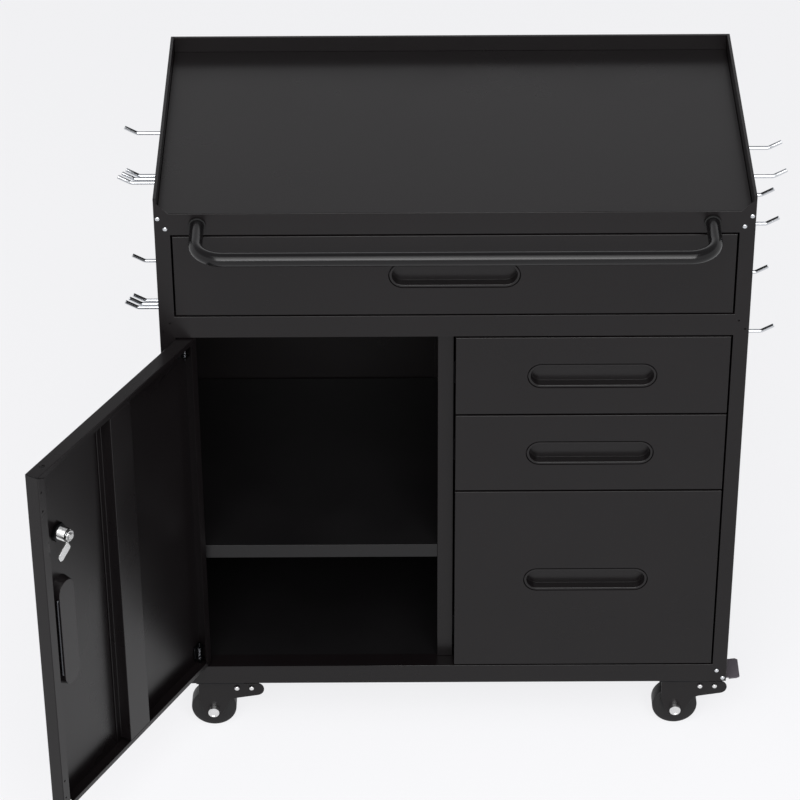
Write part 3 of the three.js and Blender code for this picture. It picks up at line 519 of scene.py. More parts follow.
def pan_profile(depth, lips):
    """The folded edge, from the face round to the inside, as (inset for each side, depth)."""
    bend = arc((BEND_RADIUS, BEND_RADIUS), BEND_RADIUS, -90, -180)
    rings = [((inset,) * 4, dip) for inset, dip in bend]
    if lips:
        back = [((inset,) * 4, depth - dip) for inset, dip in reversed(bend)]
        rings += back + [(lips, depth), (lips, depth - SHEET), ((SHEET,) * 4, depth - SHEET)]
    else:
        rings += [((0,) * 4, depth), ((SHEET,) * 4, depth)]
    return rings + [((SHEET,) * 4, SHEET)]


HOLE_ROUND = 0.4
ROUND_MIDDLE = 0.3


def pressed_pan(work, span, depth, pull_centre, upright, lips, to_scene):
    """Builds a whole pan: folded edge, skin, the hole for the cup, and the back of the skin."""
    def placed(points, dip):
        return [to_scene(along, dip, up) for along, up in points]

    edge = [placed(rectangle(span, insets), dip) for insets, dip in pan_profile(depth, lips)]
    face_edge, back_edge = strip(work, edge)
    middle = HOLE_ROUND * ROUND_MIDDLE
    hole = [placed(stadium(pull_centre, inset, upright), dip) for inset, dip in
            ((-HOLE_ROUND, 0), (-middle, middle), (0, HOLE_ROUND), (0, SHEET))]
    mouth, back = strip(work, hole)
    fill_between(work, face_edge, mouth)
    fill_between(work, back_edge, back)


def drawn_cup(work, pull_centre, upright, to_scene):
    """Builds the cup as one closed skin."""
    closed_body(work, [[to_scene(along, dip, up) for along, up in stadium(pull_centre, inset, upright)]
                       for inset, dip in cup_profile()])


print("cup rings", len(cup_profile()), "points round", len(stadium((0, 0), 0, False)))

# %% [markdown]
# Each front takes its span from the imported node. It is drawn a quarter of a millimetre smaller on
# each side, and a little more at the top, so that the gaps read as the black lines that they are.
#
# %% Drawer fronts
FRONT_EASE = 0.25
TOP_EASE = 0.6


def front_span(name):
    """The rectangle and the depth of a packed front, in millimetres on the body."""
    low, high = node_box(name)
    span = (low[0] + FRONT_EASE, high[0] - FRONT_EASE, low[2] + FRONT_EASE, high[2] - TOP_EASE)
    return span, high[1] - low[1]


for drawer in DRAWERS:
    name = f"{drawer}_front"
    span, depth = front_span(name)
    centre = ((span[0] + span[1]) / 2, (span[2] + span[3]) / 2)
    pan = mesh_from(name, lambda work: pressed_pan(work, span, depth, centre, False, None, spot))
    keep_flats(finish_mesh(f"{name}_pan", pan, SATIN_COAT, drawer, [name]))
    cup = mesh_from(f"{name}_cup", lambda work: drawn_cup(work, centre, False, spot))
    keep_flats(finish_mesh(f"{name}_cup", cup, CUP_COAT, drawer, [name]))
print("drawer fronts pressed")

# %% [markdown]
# The door is the same kind of pan with lips folded inwards, drawn closed and then turned open
# about its hinge pins. Its angle is the end of the hinge joint's range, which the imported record
# states, and its pivot is the joint's own place.
#
# %% The door's place
hinge = next(joint for joint in frame["joints"] if joint["name"] == "door_hinge")
DOOR_OPEN = math.radians(hinge["range_deg"][1])
pivot = Vector(hinge["pos_m"])
PIVOT_X, PIVOT_Y, _ = on_body(pivot)
DOOR_DEPTH = 20.0
DOOR_LEFT = -377.0
DOOR_RIGHT = 0.0
DOOR_LIPS = (12.5, 14.5, 8.0, 8.0)
DOOR_PULL_FROM_EDGE = 51.3
DOOR_PULL_DROP = 2.5
door_low, door_high = node_box("door_panel")
DOOR_LOW = door_low[2]
DOOR_HIGH = door_high[2]


def door_spot(x, y, h):
    """A place on the closed door, carried to where the open door stands."""
    across = x - PIVOT_X
    back = y - PIVOT_Y
    along = math.cos(DOOR_OPEN) * across + math.sin(DOOR_OPEN) * back
    aside = math.cos(DOOR_OPEN) * back - math.sin(DOOR_OPEN) * across
    return spot(PIVOT_X + along, PIVOT_Y + aside, h)


def run_modifiers(name, carrier):
    """The plain mesh that an object's modifiers make; the object is removed."""
    depsgraph = bpy.context.evaluated_depsgraph_get()
    mesh = bpy.data.meshes.new_from_object(carrier.evaluated_get(depsgraph))
    mesh.name = name
    bpy.data.objects.remove(carrier)
    return mesh


def cut_away(name, mesh, knife_mesh):
    """One closed mesh with another cut out of it."""
    solid = bpy.data.objects.new(f"{name}_solid", mesh)
    knife = bpy.data.objects.new(f"{name}_knife", knife_mesh)
    for piece in (solid, knife):
        bpy.context.collection.objects.link(piece)
    cut = solid.modifiers.new("cut", "BOOLEAN")
    cut.operation = "DIFFERENCE"
    cut.solver = "EXACT"
    cut.object = knife
    result = run_modifiers(name, solid)
    bpy.data.objects.remove(knife)
    return result


# %% [markdown]
# The lips meet in a mitred seam at each corner, which stands a little open at the corner itself.
# The free edge's lip has two small holes at each end, and the top and bottom edges have a larger
# one each. All are cut, because they are the only places where the rings of the pan don't follow
# the shape. Holes, mitres and corners are cut one after another, since knives that overlap in one
# mesh can spoil a cut.
#
# %% The door's pan, cup and stiffener
SEAM_CUT = 1.0
MITRE_REACH = 0.97
CORNER_CUT = 1.6
CORNER_REACH = 0.25
CUT_START = 0.1
HOLE_SIDES = 20
LIP_HOLE = 1.6
LIP_HOLE_INSET = 5.5
LIP_HOLE_ENDS = (26.0, 56.0)
EDGE_HOLE = 3.8
EDGE_HOLE_INSET = 25.0


def door_prism(work, outline, low, high):
    """A prism through the door: an outline of (x, h) points between two depths."""
    closed_body(work, [[door_spot(x, depth, h) for x, h in outline] for depth in (low, high)])


def round_hole(across, up, radius):
    """Points round a hole in the plane of two sizes."""
    turns = [2 * math.pi * i / HOLE_SIDES for i in range(HOLE_SIDES)]
    return [(across + radius * math.cos(turn), up + radius * math.sin(turn)) for turn in turns]


def hole_knife(work):
    """Cutters for the holes in the free edge's lip and in the top and bottom edges."""
    for end in LIP_HOLE_ENDS:
        for level in (DOOR_LOW + end, DOOR_HIGH - end):
            hole = round_hole(DOOR_RIGHT - LIP_HOLE_INSET, level, LIP_HOLE)
            door_prism(work, hole, DOOR_DEPTH - 3 * SHEET, DOOR_DEPTH + SHEET)
    hole = round_hole(DOOR_RIGHT - EDGE_HOLE_INSET, DOOR_DEPTH / 2, EDGE_HOLE)
    for level in (DOOR_LOW, DOOR_HIGH):
        closed_body(work, [[door_spot(x, depth, level + out) for x, depth in hole]
                           for out in (-2 * SHEET, 2 * SHEET)])


def seam_knife(work, reach, width, low):
    """Cutters from each corner inwards for a share of the lips, down to one depth."""
    for x, run in ((DOOR_RIGHT, -DOOR_LIPS[1]), (DOOR_LEFT, DOOR_LIPS[0])):
        for h, rise in ((DOOR_LOW, DOOR_LIPS[2]), (DOOR_HIGH, -DOOR_LIPS[3])):
            length = math.hypot(run, rise)
            across = (-rise / length * width / 2, run / length * width / 2)
            near = (x - run * CUT_START, h - rise * CUT_START)
            far = (x + run * reach, h + rise * reach)
            outline = [(end[0] + way * across[0], end[1] + way * across[1])
                       for end, way in ((near, -1), (far, -1), (far, 1), (near, 1))]
            door_prism(work, outline, low, DOOR_DEPTH + SHEET)


def mitre_knife(work):
    """Cutters for the narrow seam between two lips."""
    seam_knife(work, MITRE_REACH, SEAM_CUT, DOOR_DEPTH - SEAM_CUT)


def corner_knife(work):
    """Cutters for the open corner where two folded edges meet."""
    seam_knife(work, CORNER_REACH, CORNER_CUT, 2 * SHEET)


door_span = (DOOR_LEFT, DOOR_RIGHT, DOOR_LOW, DOOR_HIGH)
door_pull = (DOOR_RIGHT - DOOR_PULL_FROM_EDGE, (DOOR_LOW + DOOR_HIGH) / 2 - DOOR_PULL_DROP)
door_mesh = mesh_from("door_whole", lambda work: pressed_pan(
    work, door_span, DOOR_DEPTH, door_pull, True, DOOR_LIPS, door_spot))
for label, knife in (("holes", hole_knife), ("mitres", mitre_knife), ("corners", corner_knife)):
    door_mesh = cut_away("door_panel", door_mesh, mesh_from(label, knife))
keep_flats(finish_mesh("door_panel_pan", door_mesh, SATIN_COAT, "door", ["door_panel"]))
door_cup = mesh_from("door_cup", lambda work: drawn_cup(work, door_pull, True, door_spot))
keep_flats(finish_mesh("door_panel_cup", door_cup, CUP_COAT, "door", ["door_panel"]))
dress_node("door_stiffener", "door", SATIN_COAT, FOLD_ROUND, FOLD_STEPS)
print("door", round(math.degrees(DOOR_OPEN), 1), "degrees open,", len(door_mesh.polygons), "faces")

# %% [markdown]
# The push handle, the hook prongs and the wire beside the door's cup are bent rod, and a rod that
# follows a path is what Geometry Nodes do best. The tree takes bare edges, turns them into curves,
# rounds the corners to the bend radius and sweeps a circle along them. The same tree makes a 19 mm
# tube and a 2.6 mm wire, because its sizes are named inputs.
#
# %% A tree for bent rod


def new_tree(name, inputs):
    """A geometry tree with named inputs and one geometry output."""
    tree = bpy.data.node_groups.new(name, "GeometryNodeTree")
    tree.interface.new_socket("Geometry", in_out="INPUT", socket_type="NodeSocketGeometry")
    for label, kind in inputs:
        tree.interface.new_socket(label, in_out="INPUT", socket_type=kind)
    tree.interface.new_socket("Geometry", in_out="OUTPUT", socket_type="NodeSocketGeometry")
    return tree


def close_tree(tree, geometry, material):
    """Ends a tree with real geometry and a material on it."""
    real = add(tree, "GeometryNodeRealizeInstances", links={0: geometry})
    painted = add(tree, "GeometryNodeSetMaterial", links={"Geometry": real.outputs[0],
                                                          "Material": material})
    add(tree, "NodeGroupOutput", links={0: painted.outputs[0]})


def bent_rod_tree():
    """Edges in, rounded and swept rod out."""
    tree = new_tree("bent_rod", [
        ("Rod radius", "NodeSocketFloat"), ("Bend radius", "NodeSocketFloat"),
        ("Bend steps", "NodeSocketInt"), ("Sides", "NodeSocketInt"),
        ("Material", "NodeSocketMaterial")])
    given = add(tree, "NodeGroupInput").outputs
    path = add(tree, "GeometryNodeMeshToCurve", links={0: given["Geometry"]})
    bent = add(tree, "GeometryNodeFilletCurve", {}, {
        "Curve": path.outputs[0], "Count": given["Bend steps"],
        "Radius": given["Bend radius"]}, mode="POLY")
    section = add(tree, "GeometryNodeCurvePrimitiveCircle", {}, {
        "Resolution": given["Sides"], "Radius": given["Rod radius"]})
    swept = add(tree, "GeometryNodeCurveToMesh", {"Fill Caps": True},
                {"Curve": bent.outputs[0], "Profile Curve": section.outputs["Curve"]})
    close_tree(tree, swept.outputs[0], given["Material"])
    return tree


def grown_mesh(name, tree, points, edges, inputs):
    """Runs a tree on a few points and edges and returns the plain mesh."""
    seed = bpy.data.meshes.new(f"{name}_seed")
    seed.from_pydata(points, edges, [])
    carrier = bpy.data.objects.new(f"{name}_seed", seed)
    bpy.context.collection.objects.link(carrier)
    modifier = carrier.modifiers.new("grow", "NODES")
    modifier.node_group = tree
    for socket in tree.interface.items_tree:
        if socket.in_out == "INPUT" and socket.name in inputs:
            modifier[socket.identifier] = inputs[socket.name]
    return run_modifiers(name, carrier)


BENT_ROD = bent_rod_tree()


def bent_rod(name, points, edges, sizes, steps, sides, material):
    """Rod along edges as a plain mesh; sizes are its radius and its bend radius in millimetres."""
    return grown_mesh(name, BENT_ROD, points, edges, {
        "Rod radius": sizes[0] * MILLIMETRE, "Bend radius": sizes[1] * MILLIMETRE,
        "Bend steps": steps, "Sides": sides, "Material": material})


print("tree", BENT_ROD.name, "with", len(BENT_ROD.nodes), "nodes")

# %% [markdown]
# The handle's tube runs from inside the apron, out, across and back in. Its corner points come
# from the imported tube's box, so the visible tube lies exactly on the solid one.
#
# %% Push handle and its collars
HANDLE_RADIUS = 9.5
HANDLE_BEND = 38.0
HANDLE_BEND_STEPS = 14
HANDLE_SIDES = 64
THREE_STRETCHES = [(0, 1), (1, 2), (2, 3)]
handle_low, handle_high = node_box("push_handle")
handle_level = (handle_low[2] + handle_high[2]) / 2
handle_x = handle_high[0] - HANDLE_RADIUS
handle_bar = handle_low[1] + HANDLE_RADIUS
handle_root = handle_high[1]
handle_route = [spot(x, y, handle_level) for x, y in (
    (-handle_x, handle_root), (-handle_x, handle_bar), (handle_x, handle_bar), (handle_x, handle_root))]
handle_mesh = bent_rod("push_handle", handle_route, THREE_STRETCHES, (HANDLE_RADIUS, HANDLE_BEND),
                       HANDLE_BEND_STEPS, HANDLE_SIDES, TUBE_COAT)
finish_mesh("push_handle_tube", handle_mesh, TUBE_COAT, "cabinet", ["push_handle"])
print("handle bar", round(2 * handle_x), "mm between its legs")

# %% [markdown]
# A snap-in cup is held from behind by a spring wire along its straight side, with both ends
# turned in through the cup's wall. The photograph shows such a bright line beside the door's cup.
#
# %% Spring wire of the door's cup
WIRE_RADIUS = 1.3
WIRE_HALF = 63.0
WIRE_FROM_WALL = 2.6
WIRE_DEPTH = 11.5
WIRE_BEND = 2.5
WIRE_TURN_IN = 4.0
WIRE_BEND_STEPS = 6
WIRE_SIDES = 16
wire_x = door_pull[0] + PULL_WIDTH / 2 - CUP_BACK_INSET + WIRE_FROM_WALL
wire_end = wire_x - WIRE_TURN_IN
wire_route = [door_spot(x, WIRE_DEPTH, door_pull[1] + h) for x, h in (
    (wire_end, WIRE_HALF), (wire_x, WIRE_HALF), (wire_x, -WIRE_HALF), (wire_end, -WIRE_HALF))]
wire_mesh = bent_rod("cup_wire", wire_route, THREE_STRETCHES, (WIRE_RADIUS, WIRE_BEND),
                     WIRE_BEND_STEPS, WIRE_SIDES, SPRING_STEEL)
finish_mesh("door_panel_cup_wire", wire_mesh, SPRING_STEEL, "door")
print("spring wire", 2 * WIRE_HALF, "mm long")

# %% [markdown]
# Round pieces such as collars, wheels and bolt heads are turned: a profile of radius and length
# spun round an axis. One helper does it for any axis, and closes the ends that meet the axis.
#
# %% A helper for turned pieces
TURNED_SIDES = 48


def turned(work, profile, to_scene, sides=TURNED_SIDES, closed=False):
    """Spins (radius, length) pairs; to_scene places (across, length, up) in the scene."""
    rings = []
    for radius, length in profile:
        if radius == 0:
            rings.append([work.verts.new(to_scene(0, length, 0))])
            continue
        angles = [2 * math.pi * i / sides for i in range(sides)]
        rings.append([work.verts.new(to_scene(radius * math.cos(a), length, radius * math.sin(a)))
                      for a in angles])
    if closed:
        rings.append(rings[0])
    for lower, upper in zip(rings, rings[1:]):
        for i in range(sides):
            j = (i + 1) % sides
            corners = [lower[i % len(lower)], lower[j % len(lower)], upper[j % len(upper)],
                       upper[i % len(upper)]]
            work.faces.new(list(dict.fromkeys(corners)))


def about(centre):
    """Places a turned piece with its axis along Y through a point given in millimetres."""
    return lambda across, length, up: spot(centre[0] + across, centre[1] + length, centre[2] + up)


def rounded_ring(inner, outer, low, high, edge):
    """The profile of a ring with rounded outer edges."""
    middle = edge * ROUND_MIDDLE
    return [(inner, low), (outer - edge, low), (outer - middle, low + middle), (outer, low + edge),
            (outer, high - edge), (outer - middle, high - middle), (outer - edge, high), (inner, high)]


COLLAR_EDGE = 0.4
COLLAR_PLAY = 0.1
for side, sign in (("left", -1), ("right", 1)):
    node = f"{side}_handle_collar"
    low, high = node_box(node)
    profile = rounded_ring(HANDLE_RADIUS + COLLAR_PLAY, (high[0] - low[0]) / 2, low[1], high[1],
                           COLLAR_EDGE)
    centre = (sign * handle_x, 0, handle_level)
    mesh = mesh_from(node, lambda work: turned(work, profile, about(centre), closed=True))
    finish_mesh(f"{node}_ring", mesh, NYLON, "cabinet", [node])
print("collars turned")

# %% [markdown]
# The lock is a cam lock: a bezel on the face, a barrel through the skin, a hex nut behind it, a
# plug that turns with the key, and a cranked cam on the plug's end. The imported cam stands 27
# degrees below level, and so does the blade, a flat bar whose stations are listed along it. Such
# a barrel's thread has a pitch of 1 mm and is drawn at 1.5 mm, so that it shows.
#
# %% Cam lock
LOCK_X = DOOR_RIGHT - 56.2
LOCK_H = 478.0
BORE_RADIUS = 6.0
THREAD_FROM = 7.2
THREAD_PITCH = 1.5
THREAD_DEEP = 0.75
BARREL_RADIUS = 9.5
THREAD = [(BARREL_RADIUS - THREAD_DEEP * (i % 2), THREAD_FROM + THREAD_PITCH * i / 2)
          for i in range(16)]
HOUSING = [(BORE_RADIUS, -2.3), (10.3, -2.3), (11.1, -2.0), (11.5, -1.3), (11.5, -0.3),
           (BARREL_RADIUS, -0.3), *THREAD, (8.7, 19.6), (BORE_RADIUS, 19.6)]
LOCK_NUT = [(9.4, 1.8), (13.0, 1.8), (14.0, 2.3), (14.0, 6.3), (13.0, 6.8), (9.4, 6.8)]
PLUG = [(0, -2.3), (5.1, -2.3), (5.7, -1.7), (5.7, 23.0), (0, 23.0)]
CAM_NUT = [(0, 23.0), (4.9, 23.0), (4.9, 25.3), (4.4, 25.8), (0, 25.8)]
CAM_EYE = [(0, 20.5), (7.8, 20.5), (8.2, 20.9), (8.2, 22.6), (7.8, 23.0), (0, 23.0)]
KEY_SLOT = (0.8, 3.4, 1.6)
KEY_REACH = 5.0
CAM_DROP = math.radians(27.0)
CAM_STATIONS = [(0, 20.5, 5.0), (8.0, 20.5, 5.0), (11.0, 25.5, 5.0), (13.5, 25.5, 7.0),
                (33.0, 25.5, 7.0), (37.0, 25.5, 3.4)]
CAM_THICKNESS = 2.5
CAM_ROUND = 0.4
HEX_SIDES = 6


def lock_spot(across, length, up):
    """A place from the lock's axis on the open door."""
    return door_spot(LOCK_X + across, length, LOCK_H + up)


def cam_spot(along, depth, aside):
    """A place on the cam: along the blade, across the door and to the blade's side."""
    return lock_spot(along * math.cos(CAM_DROP) + aside * math.sin(CAM_DROP), depth,
                     aside * math.cos(CAM_DROP) - along * math.sin(CAM_DROP))


def cam_blade(work):
    """The cranked blade as rings of four corners, one ring for each station."""
    closed_body(work, [[cam_spot(along, depth, -half), cam_spot(along, depth, half),
                        cam_spot(along, depth + CAM_THICKNESS, half),
                        cam_spot(along, depth + CAM_THICKNESS, -half)]
                       for along, depth, half in CAM_STATIONS])


def key_slot(work):
    """The knife for the key's slot in the plug's face."""
    half_width, half_height, deep = KEY_SLOT
    slot = (LOCK_X - half_width, LOCK_X + half_width, LOCK_H - half_height, LOCK_H + half_height)
    door_prism(work, rectangle(slot, (0, 0, 0, 0)), -KEY_REACH, PLUG[0][1] + deep)


def lock_cam(work):
    """The cam's eye, its nut and its blade."""
    turned(work, CAM_EYE, lock_spot)
    turned(work, CAM_NUT, lock_spot, HEX_SIDES)
    cam_blade(work)


housing = mesh_from("lock_housing", lambda work: turned(work, HOUSING, lock_spot, closed=True))
finish_mesh("lock_housing_turned", housing, NICKEL, "door", ["lock_housing"])
nut = mesh_from("lock_nut", lambda work: turned(work, LOCK_NUT, lock_spot, HEX_SIDES, closed=True))
finish_mesh("lock_nut_turned", nut, BLACK_ZINC_AND_SHADE, "door", ["lock_housing"])
plug = mesh_from("lock_plug", lambda work: turned(work, PLUG, lock_spot))
plug = cut_away("lock_plug", plug, mesh_from("key_slot", key_slot))
finish_mesh("lock_plug_turned", plug, CHROME, "cam", ["lock_cam"])
cam = finish_mesh("lock_cam_blade", mesh_from("lock_cam", lock_cam), NICKEL, "cam", ["lock_cam"])
round_edges(cam, CAM_ROUND)
print("cam lock at", LOCK_X, LOCK_H)

# %% [markdown]
# Springs and rows of screws are what Geometry Nodes grow well. One tree winds a wire into a coil
# at each given point. The other sets a dome head at each point, facing one way. Both take their
# sizes as named inputs, and each run gives one plain mesh on one body.
#
# %% Trees for coils and dome heads


def coil_tree():
    """Points in, one upright coil of wire on each out."""
    tree = new_tree("wire_coil", [
        ("Coil radius", "NodeSocketFloat"), ("Wire radius", "NodeSocketFloat"),
        ("Turns", "NodeSocketFloat"), ("Length", "NodeSocketFloat"),
        ("Material", "NodeSocketMaterial")])
    given = add(tree, "NodeGroupInput").outputs
    spiral = add(tree, "GeometryNodeCurveSpiral", {"Resolution": 24}, {
        "Rotations": given["Turns"], "Start Radius": given["Coil radius"],
        "End Radius": given["Coil radius"], "Height": given["Length"]})
    section = add(tree, "GeometryNodeCurvePrimitiveCircle", {"Resolution": 8}, {
        "Radius": given["Wire radius"]})
    wire = add(tree, "GeometryNodeCurveToMesh", {"Fill Caps": True}, {
        "Curve": spiral.outputs[0], "Profile Curve": section.outputs["Curve"]})
    placed = add(tree, "GeometryNodeInstanceOnPoints", {}, {
        "Points": given["Geometry"], "Instance": wire.outputs[0]})
    close_tree(tree, placed.outputs[0], given["Material"])
    return tree


def dome_tree():
    """Points in, one dome head on each out, its crown towards the facing."""
    tree = new_tree("dome_head", [
        ("Head radius", "NodeSocketFloat"), ("Head height", "NodeSocketFloat"),
        ("Facing", "NodeSocketVector"), ("Material", "NodeSocketMaterial")])
    given = add(tree, "NodeGroupInput").outputs
    ball = add(tree, "GeometryNodeMeshUVSphere", {"Segments": 24, "Rings": 16, "Radius": 1.0})
    size = add(tree, "ShaderNodeCombineXYZ", {}, {
        0: given["Head radius"], 1: given["Head radius"], 2: given["Head height"]})
    dome = add(tree, "GeometryNodeTransform", {}, {
        "Geometry": ball.outputs["Mesh"], "Scale": size.outputs[0]})
    turn = add(tree, "FunctionNodeAlignRotationToVector", {}, {"Vector": given["Facing"]}, axis="Z")
    placed = add(tree, "GeometryNodeInstanceOnPoints", {}, {
        "Points": given["Geometry"], "Instance": dome.outputs["Geometry"], "Rotation": turn.outputs[0]})
    close_tree(tree, placed.outputs[0], given["Material"])
    return tree


WIRE_COIL = coil_tree()
DOME_HEAD = dome_tree()


def dome_heads(name, places, radius, height, facing, material, body):
    """A row of dome heads on one body."""
    mesh = grown_mesh(name, DOME_HEAD, places, [], {
        "Head radius": radius * MILLIMETRE, "Head height": height * MILLIMETRE,
        "Facing": facing, "Material": material})
    return finish_mesh(name, mesh, material, body)


print("trees", WIRE_COIL.name, DOME_HEAD.name)

# %% [markdown]
# The door turns on two sprung pins. Each slides in a small bracket riveted to the skin, and its
# spring, wound round the pin between the bracket's ears, pushes it into the frame.
#
# %% Hinge pins, springs and rivets
BRACKET_FROM_EDGE = 9.0
BRACKET_LENGTH = 24.0
SPRING_RADIUS = 3.3
SPRING_WIRE = 0.55
SPRING_TURNS = 8.0
RIVET_RADIUS = 1.9
RIVET_HEIGHT = 0.9
RIVET_ASIDE = 7.6
RIVET_DEPTH = 3.2
RIVET_FROM_END = 5.0
BRACKET_ROUND = 0.3
inward = tuple((door_spot(0, 1, 0) - door_spot(0, 0, 0)).normalized())
rivets = []
for node, edge, up in (("upper_hinge_pin", DOOR_HIGH, 1), ("lower_hinge_pin", DOOR_LOW, -1)):
    # The bracket's zinc is drawn nearly black as painted shade.
    dress_node(node, "door", BLACK_ZINC_AND_SHADE, BRACKET_ROUND)
    ends = sorted((edge - up * BRACKET_FROM_EDGE, edge - up * (BRACKET_FROM_EDGE + BRACKET_LENGTH)))
    foot = spot(PIVOT_X, PIVOT_Y, ends[0] + SHEET)
    spring = grown_mesh(f"{node}_spring", WIRE_COIL, [foot], [], {
        "Coil radius": SPRING_RADIUS * MILLIMETRE, "Wire radius": SPRING_WIRE * MILLIMETRE,
        "Turns": SPRING_TURNS, "Length": (BRACKET_LENGTH - 2 * SHEET) * MILLIMETRE,
        "Material": SPRING_STEEL})
    finish_mesh(f"{node}_spring", spring, SPRING_STEEL, "door")
    rivets += [door_spot(PIVOT_X + RIVET_ASIDE, RIVET_DEPTH, h)
               for h in (ends[0] + RIVET_FROM_END, ends[1] - RIVET_FROM_END)]
dome_heads("hinge_rivets", rivets, RIVET_RADIUS, RIVET_HEIGHT, inward, BLACK_ZINC_AND_SHADE, "door")
print("sprung hinge pins")

# %% [markdown]
# Chrome dome screws hold the front frame at its corners. The photograph shows two at each upper
# corner and two at the lower right one, and the lower left ones are hidden behind the door. The
# back isn't seen; black pop rivets at a regular pitch are the usual way to close such a panel.
#
# %% Frame screws and pop rivets
SCREW_RADIUS = 3.3
SCREW_HEIGHT = 1.9
SCREW_PLACES = [(395, 797.6), (385.5, 781.7), (385.5, 20.0), (394.8, 6.3)]
screws = [spot(side * x, 0, h) for side in (-1, 1) for x, h in SCREW_PLACES]
dome_heads("frame_screws", screws, SCREW_RADIUS, SCREW_HEIGHT, (0, -1, 0), CHROME, "cabinet")
POP_RADIUS = 2.6
POP_HEIGHT = 1.1
POP_INSET = 9.0
POP_LEVELS = [60 + 136 * i for i in range(6)]
POP_ACROSS = [-255 + 170 * i for i in range(4)]
back_low, back_high = node_box("back_panel")
pops = [spot(side * (HALF_WIDTH - POP_INSET), back_high[1], h) for side in (-1, 1) for h in POP_LEVELS]
pops += [spot(x, back_high[1], back_low[2] + POP_INSET) for x in POP_ACROSS]
dome_heads("back_rivets", pops, POP_RADIUS, POP_HEIGHT, (0, 1, 0), BLACK_ZINC_AND_SHADE, "cabinet")
print("screws", len(screws), "pop rivets", len(pops))

# %% [markdown]
# The side panels carry square holes at a pitch of 38 mm, and the hooks hang in them. A hook is a
# small holder plate with one tab for each hole it uses and one, two or three bent prongs. The
# prongs are grown with the rod tree, and the plates and tabs are blocks with rounded edges.
#
# %% Hooks
HOLE_FIRST_Y = 66.0
HOLE_FIRST_H = 774.0
HOLE_PITCH = 38.0
PRONG_RADIUS = 2.8
PRONG_RISE = 20.0
PRONG_TILT = math.radians(29.0)
PRONG_BEND = 10.0
PRONG_BEND_STEPS = 8
PRONG_SIDES = 20
PRONG_ROUND = 0.35
HOLDER = 2.0
HOLDER_EDGE = 8.0
HOLDER_HALF = 10.0
HOLDER_ROUND = 0.4
SEAT = 0.3
TAB_HALF = 4.5
TAB_TURN = 4.0
TAB_OVERLAP = 0.5
TRIPLE_STEP = 9.0
TRIPLE_SHORTER = 5.0
HOOKS = [
    ("right_upper_double_hook", 1, (2, 4), 0, 55), ("right_lower_double_hook", 1, (2, 4), 2, 49),
    ("right_middle_hook", 1, (5,), 6, 53), ("right_lower_hook", 1, (4,), 8, 62),
    ("left_upper_hook", -1, (7,), 1, 63), ("left_middle_hook", -1, (6,), 6, 59),
    ("left_upper_triple_hook", -1, (2,), 0, 52), ("left_lower_triple_hook", -1, (3,), 6, 56),
]


def block(work, low, high):
    """A block on the body between two corners."""
    corners = [work.verts.new(spot(x, y, h)) for x in (low[0], high[0])
               for y in (low[1], high[1]) for h in (low[2], high[2])]
    for face in ((0, 1, 3, 2), (4, 6, 7, 5), (0, 4, 5, 1), (2, 3, 7, 6), (0, 2, 6, 4), (1, 5, 7, 3)):
        work.faces.new([corners[i] for i in face])


def side_block(work, side, near, far, ys, hs):
    """A block outside or inside one side panel; near and far are distances from the middle."""
    xs = sorted((side * near, side * far))
    block(work, (xs[0], ys[0], hs[0]), (xs[1], ys[1], hs[1]))


def hook_holder(work, side, ys, tabs, h):
    """The plate outside the panel and the tabs that turn up behind it."""
    face = HALF_WIDTH + SEAT
    behind = HALF_WIDTH - SHEET - SEAT
    side_block(work, side, face, face + HOLDER, (min(ys) - HOLDER_EDGE, max(ys) + HOLDER_EDGE),
               (h - HOLDER_HALF, h + HOLDER_HALF))
    for y in tabs:
        across = (y - TAB_HALF, y + TAB_HALF)
        side_block(work, side, behind - SHEET, face + TAB_OVERLAP, across, (h - TAB_HALF, h))
        side_block(work, side, behind - SHEET, behind, across,
                   (h - TAB_OVERLAP, h + TAB_HALF + TAB_TURN))


def make_hook(node, side, columns, row, reach):
    """One hook: its prongs as grown rod and its holder as blocks."""
    tabs = [HOLE_FIRST_Y + column * HOLE_PITCH for column in columns]
    h = HOLE_FIRST_H - row * HOLE_PITCH
    prongs = [(y, reach) for y in tabs]
    if "triple" in node:
        prongs = [(tabs[0] + i * TRIPLE_STEP, reach - i * TRIPLE_SHORTER) for i in (-1, 0, 1)]
    points, edges = [], []
    for y, out in prongs:
        bend = HALF_WIDTH + out - PRONG_RISE * math.cos(PRONG_TILT)
        route = [(HALF_WIDTH + SEAT + HOLDER / 2, h), (bend, h),
                 (HALF_WIDTH + out, h + PRONG_RISE * math.sin(PRONG_TILT))]
        edges += [(len(points), len(points) + 1), (len(points) + 1, len(points) + 2)]
        points += [spot(side * x, y, level) for x, level in route]
    rods = bent_rod(f"{node}_prongs", points, edges, (PRONG_RADIUS, PRONG_BEND), PRONG_BEND_STEPS,
                    PRONG_SIDES, CHROME)
    round_edges(finish_mesh(f"{node}_prongs", rods, CHROME, "cabinet", [node]), PRONG_ROUND)
    ys = [y for y, _ in prongs]
    holder = mesh_from(f"{node}_holder", lambda work: hook_holder(work, side, ys, tabs, h))
    round_edges(finish_mesh(f"{node}_holder", holder, CHROME, "cabinet", [node]), HOLDER_ROUND)


for hook in HOOKS:
    make_hook(*hook)
print("hooks", len(HOOKS))

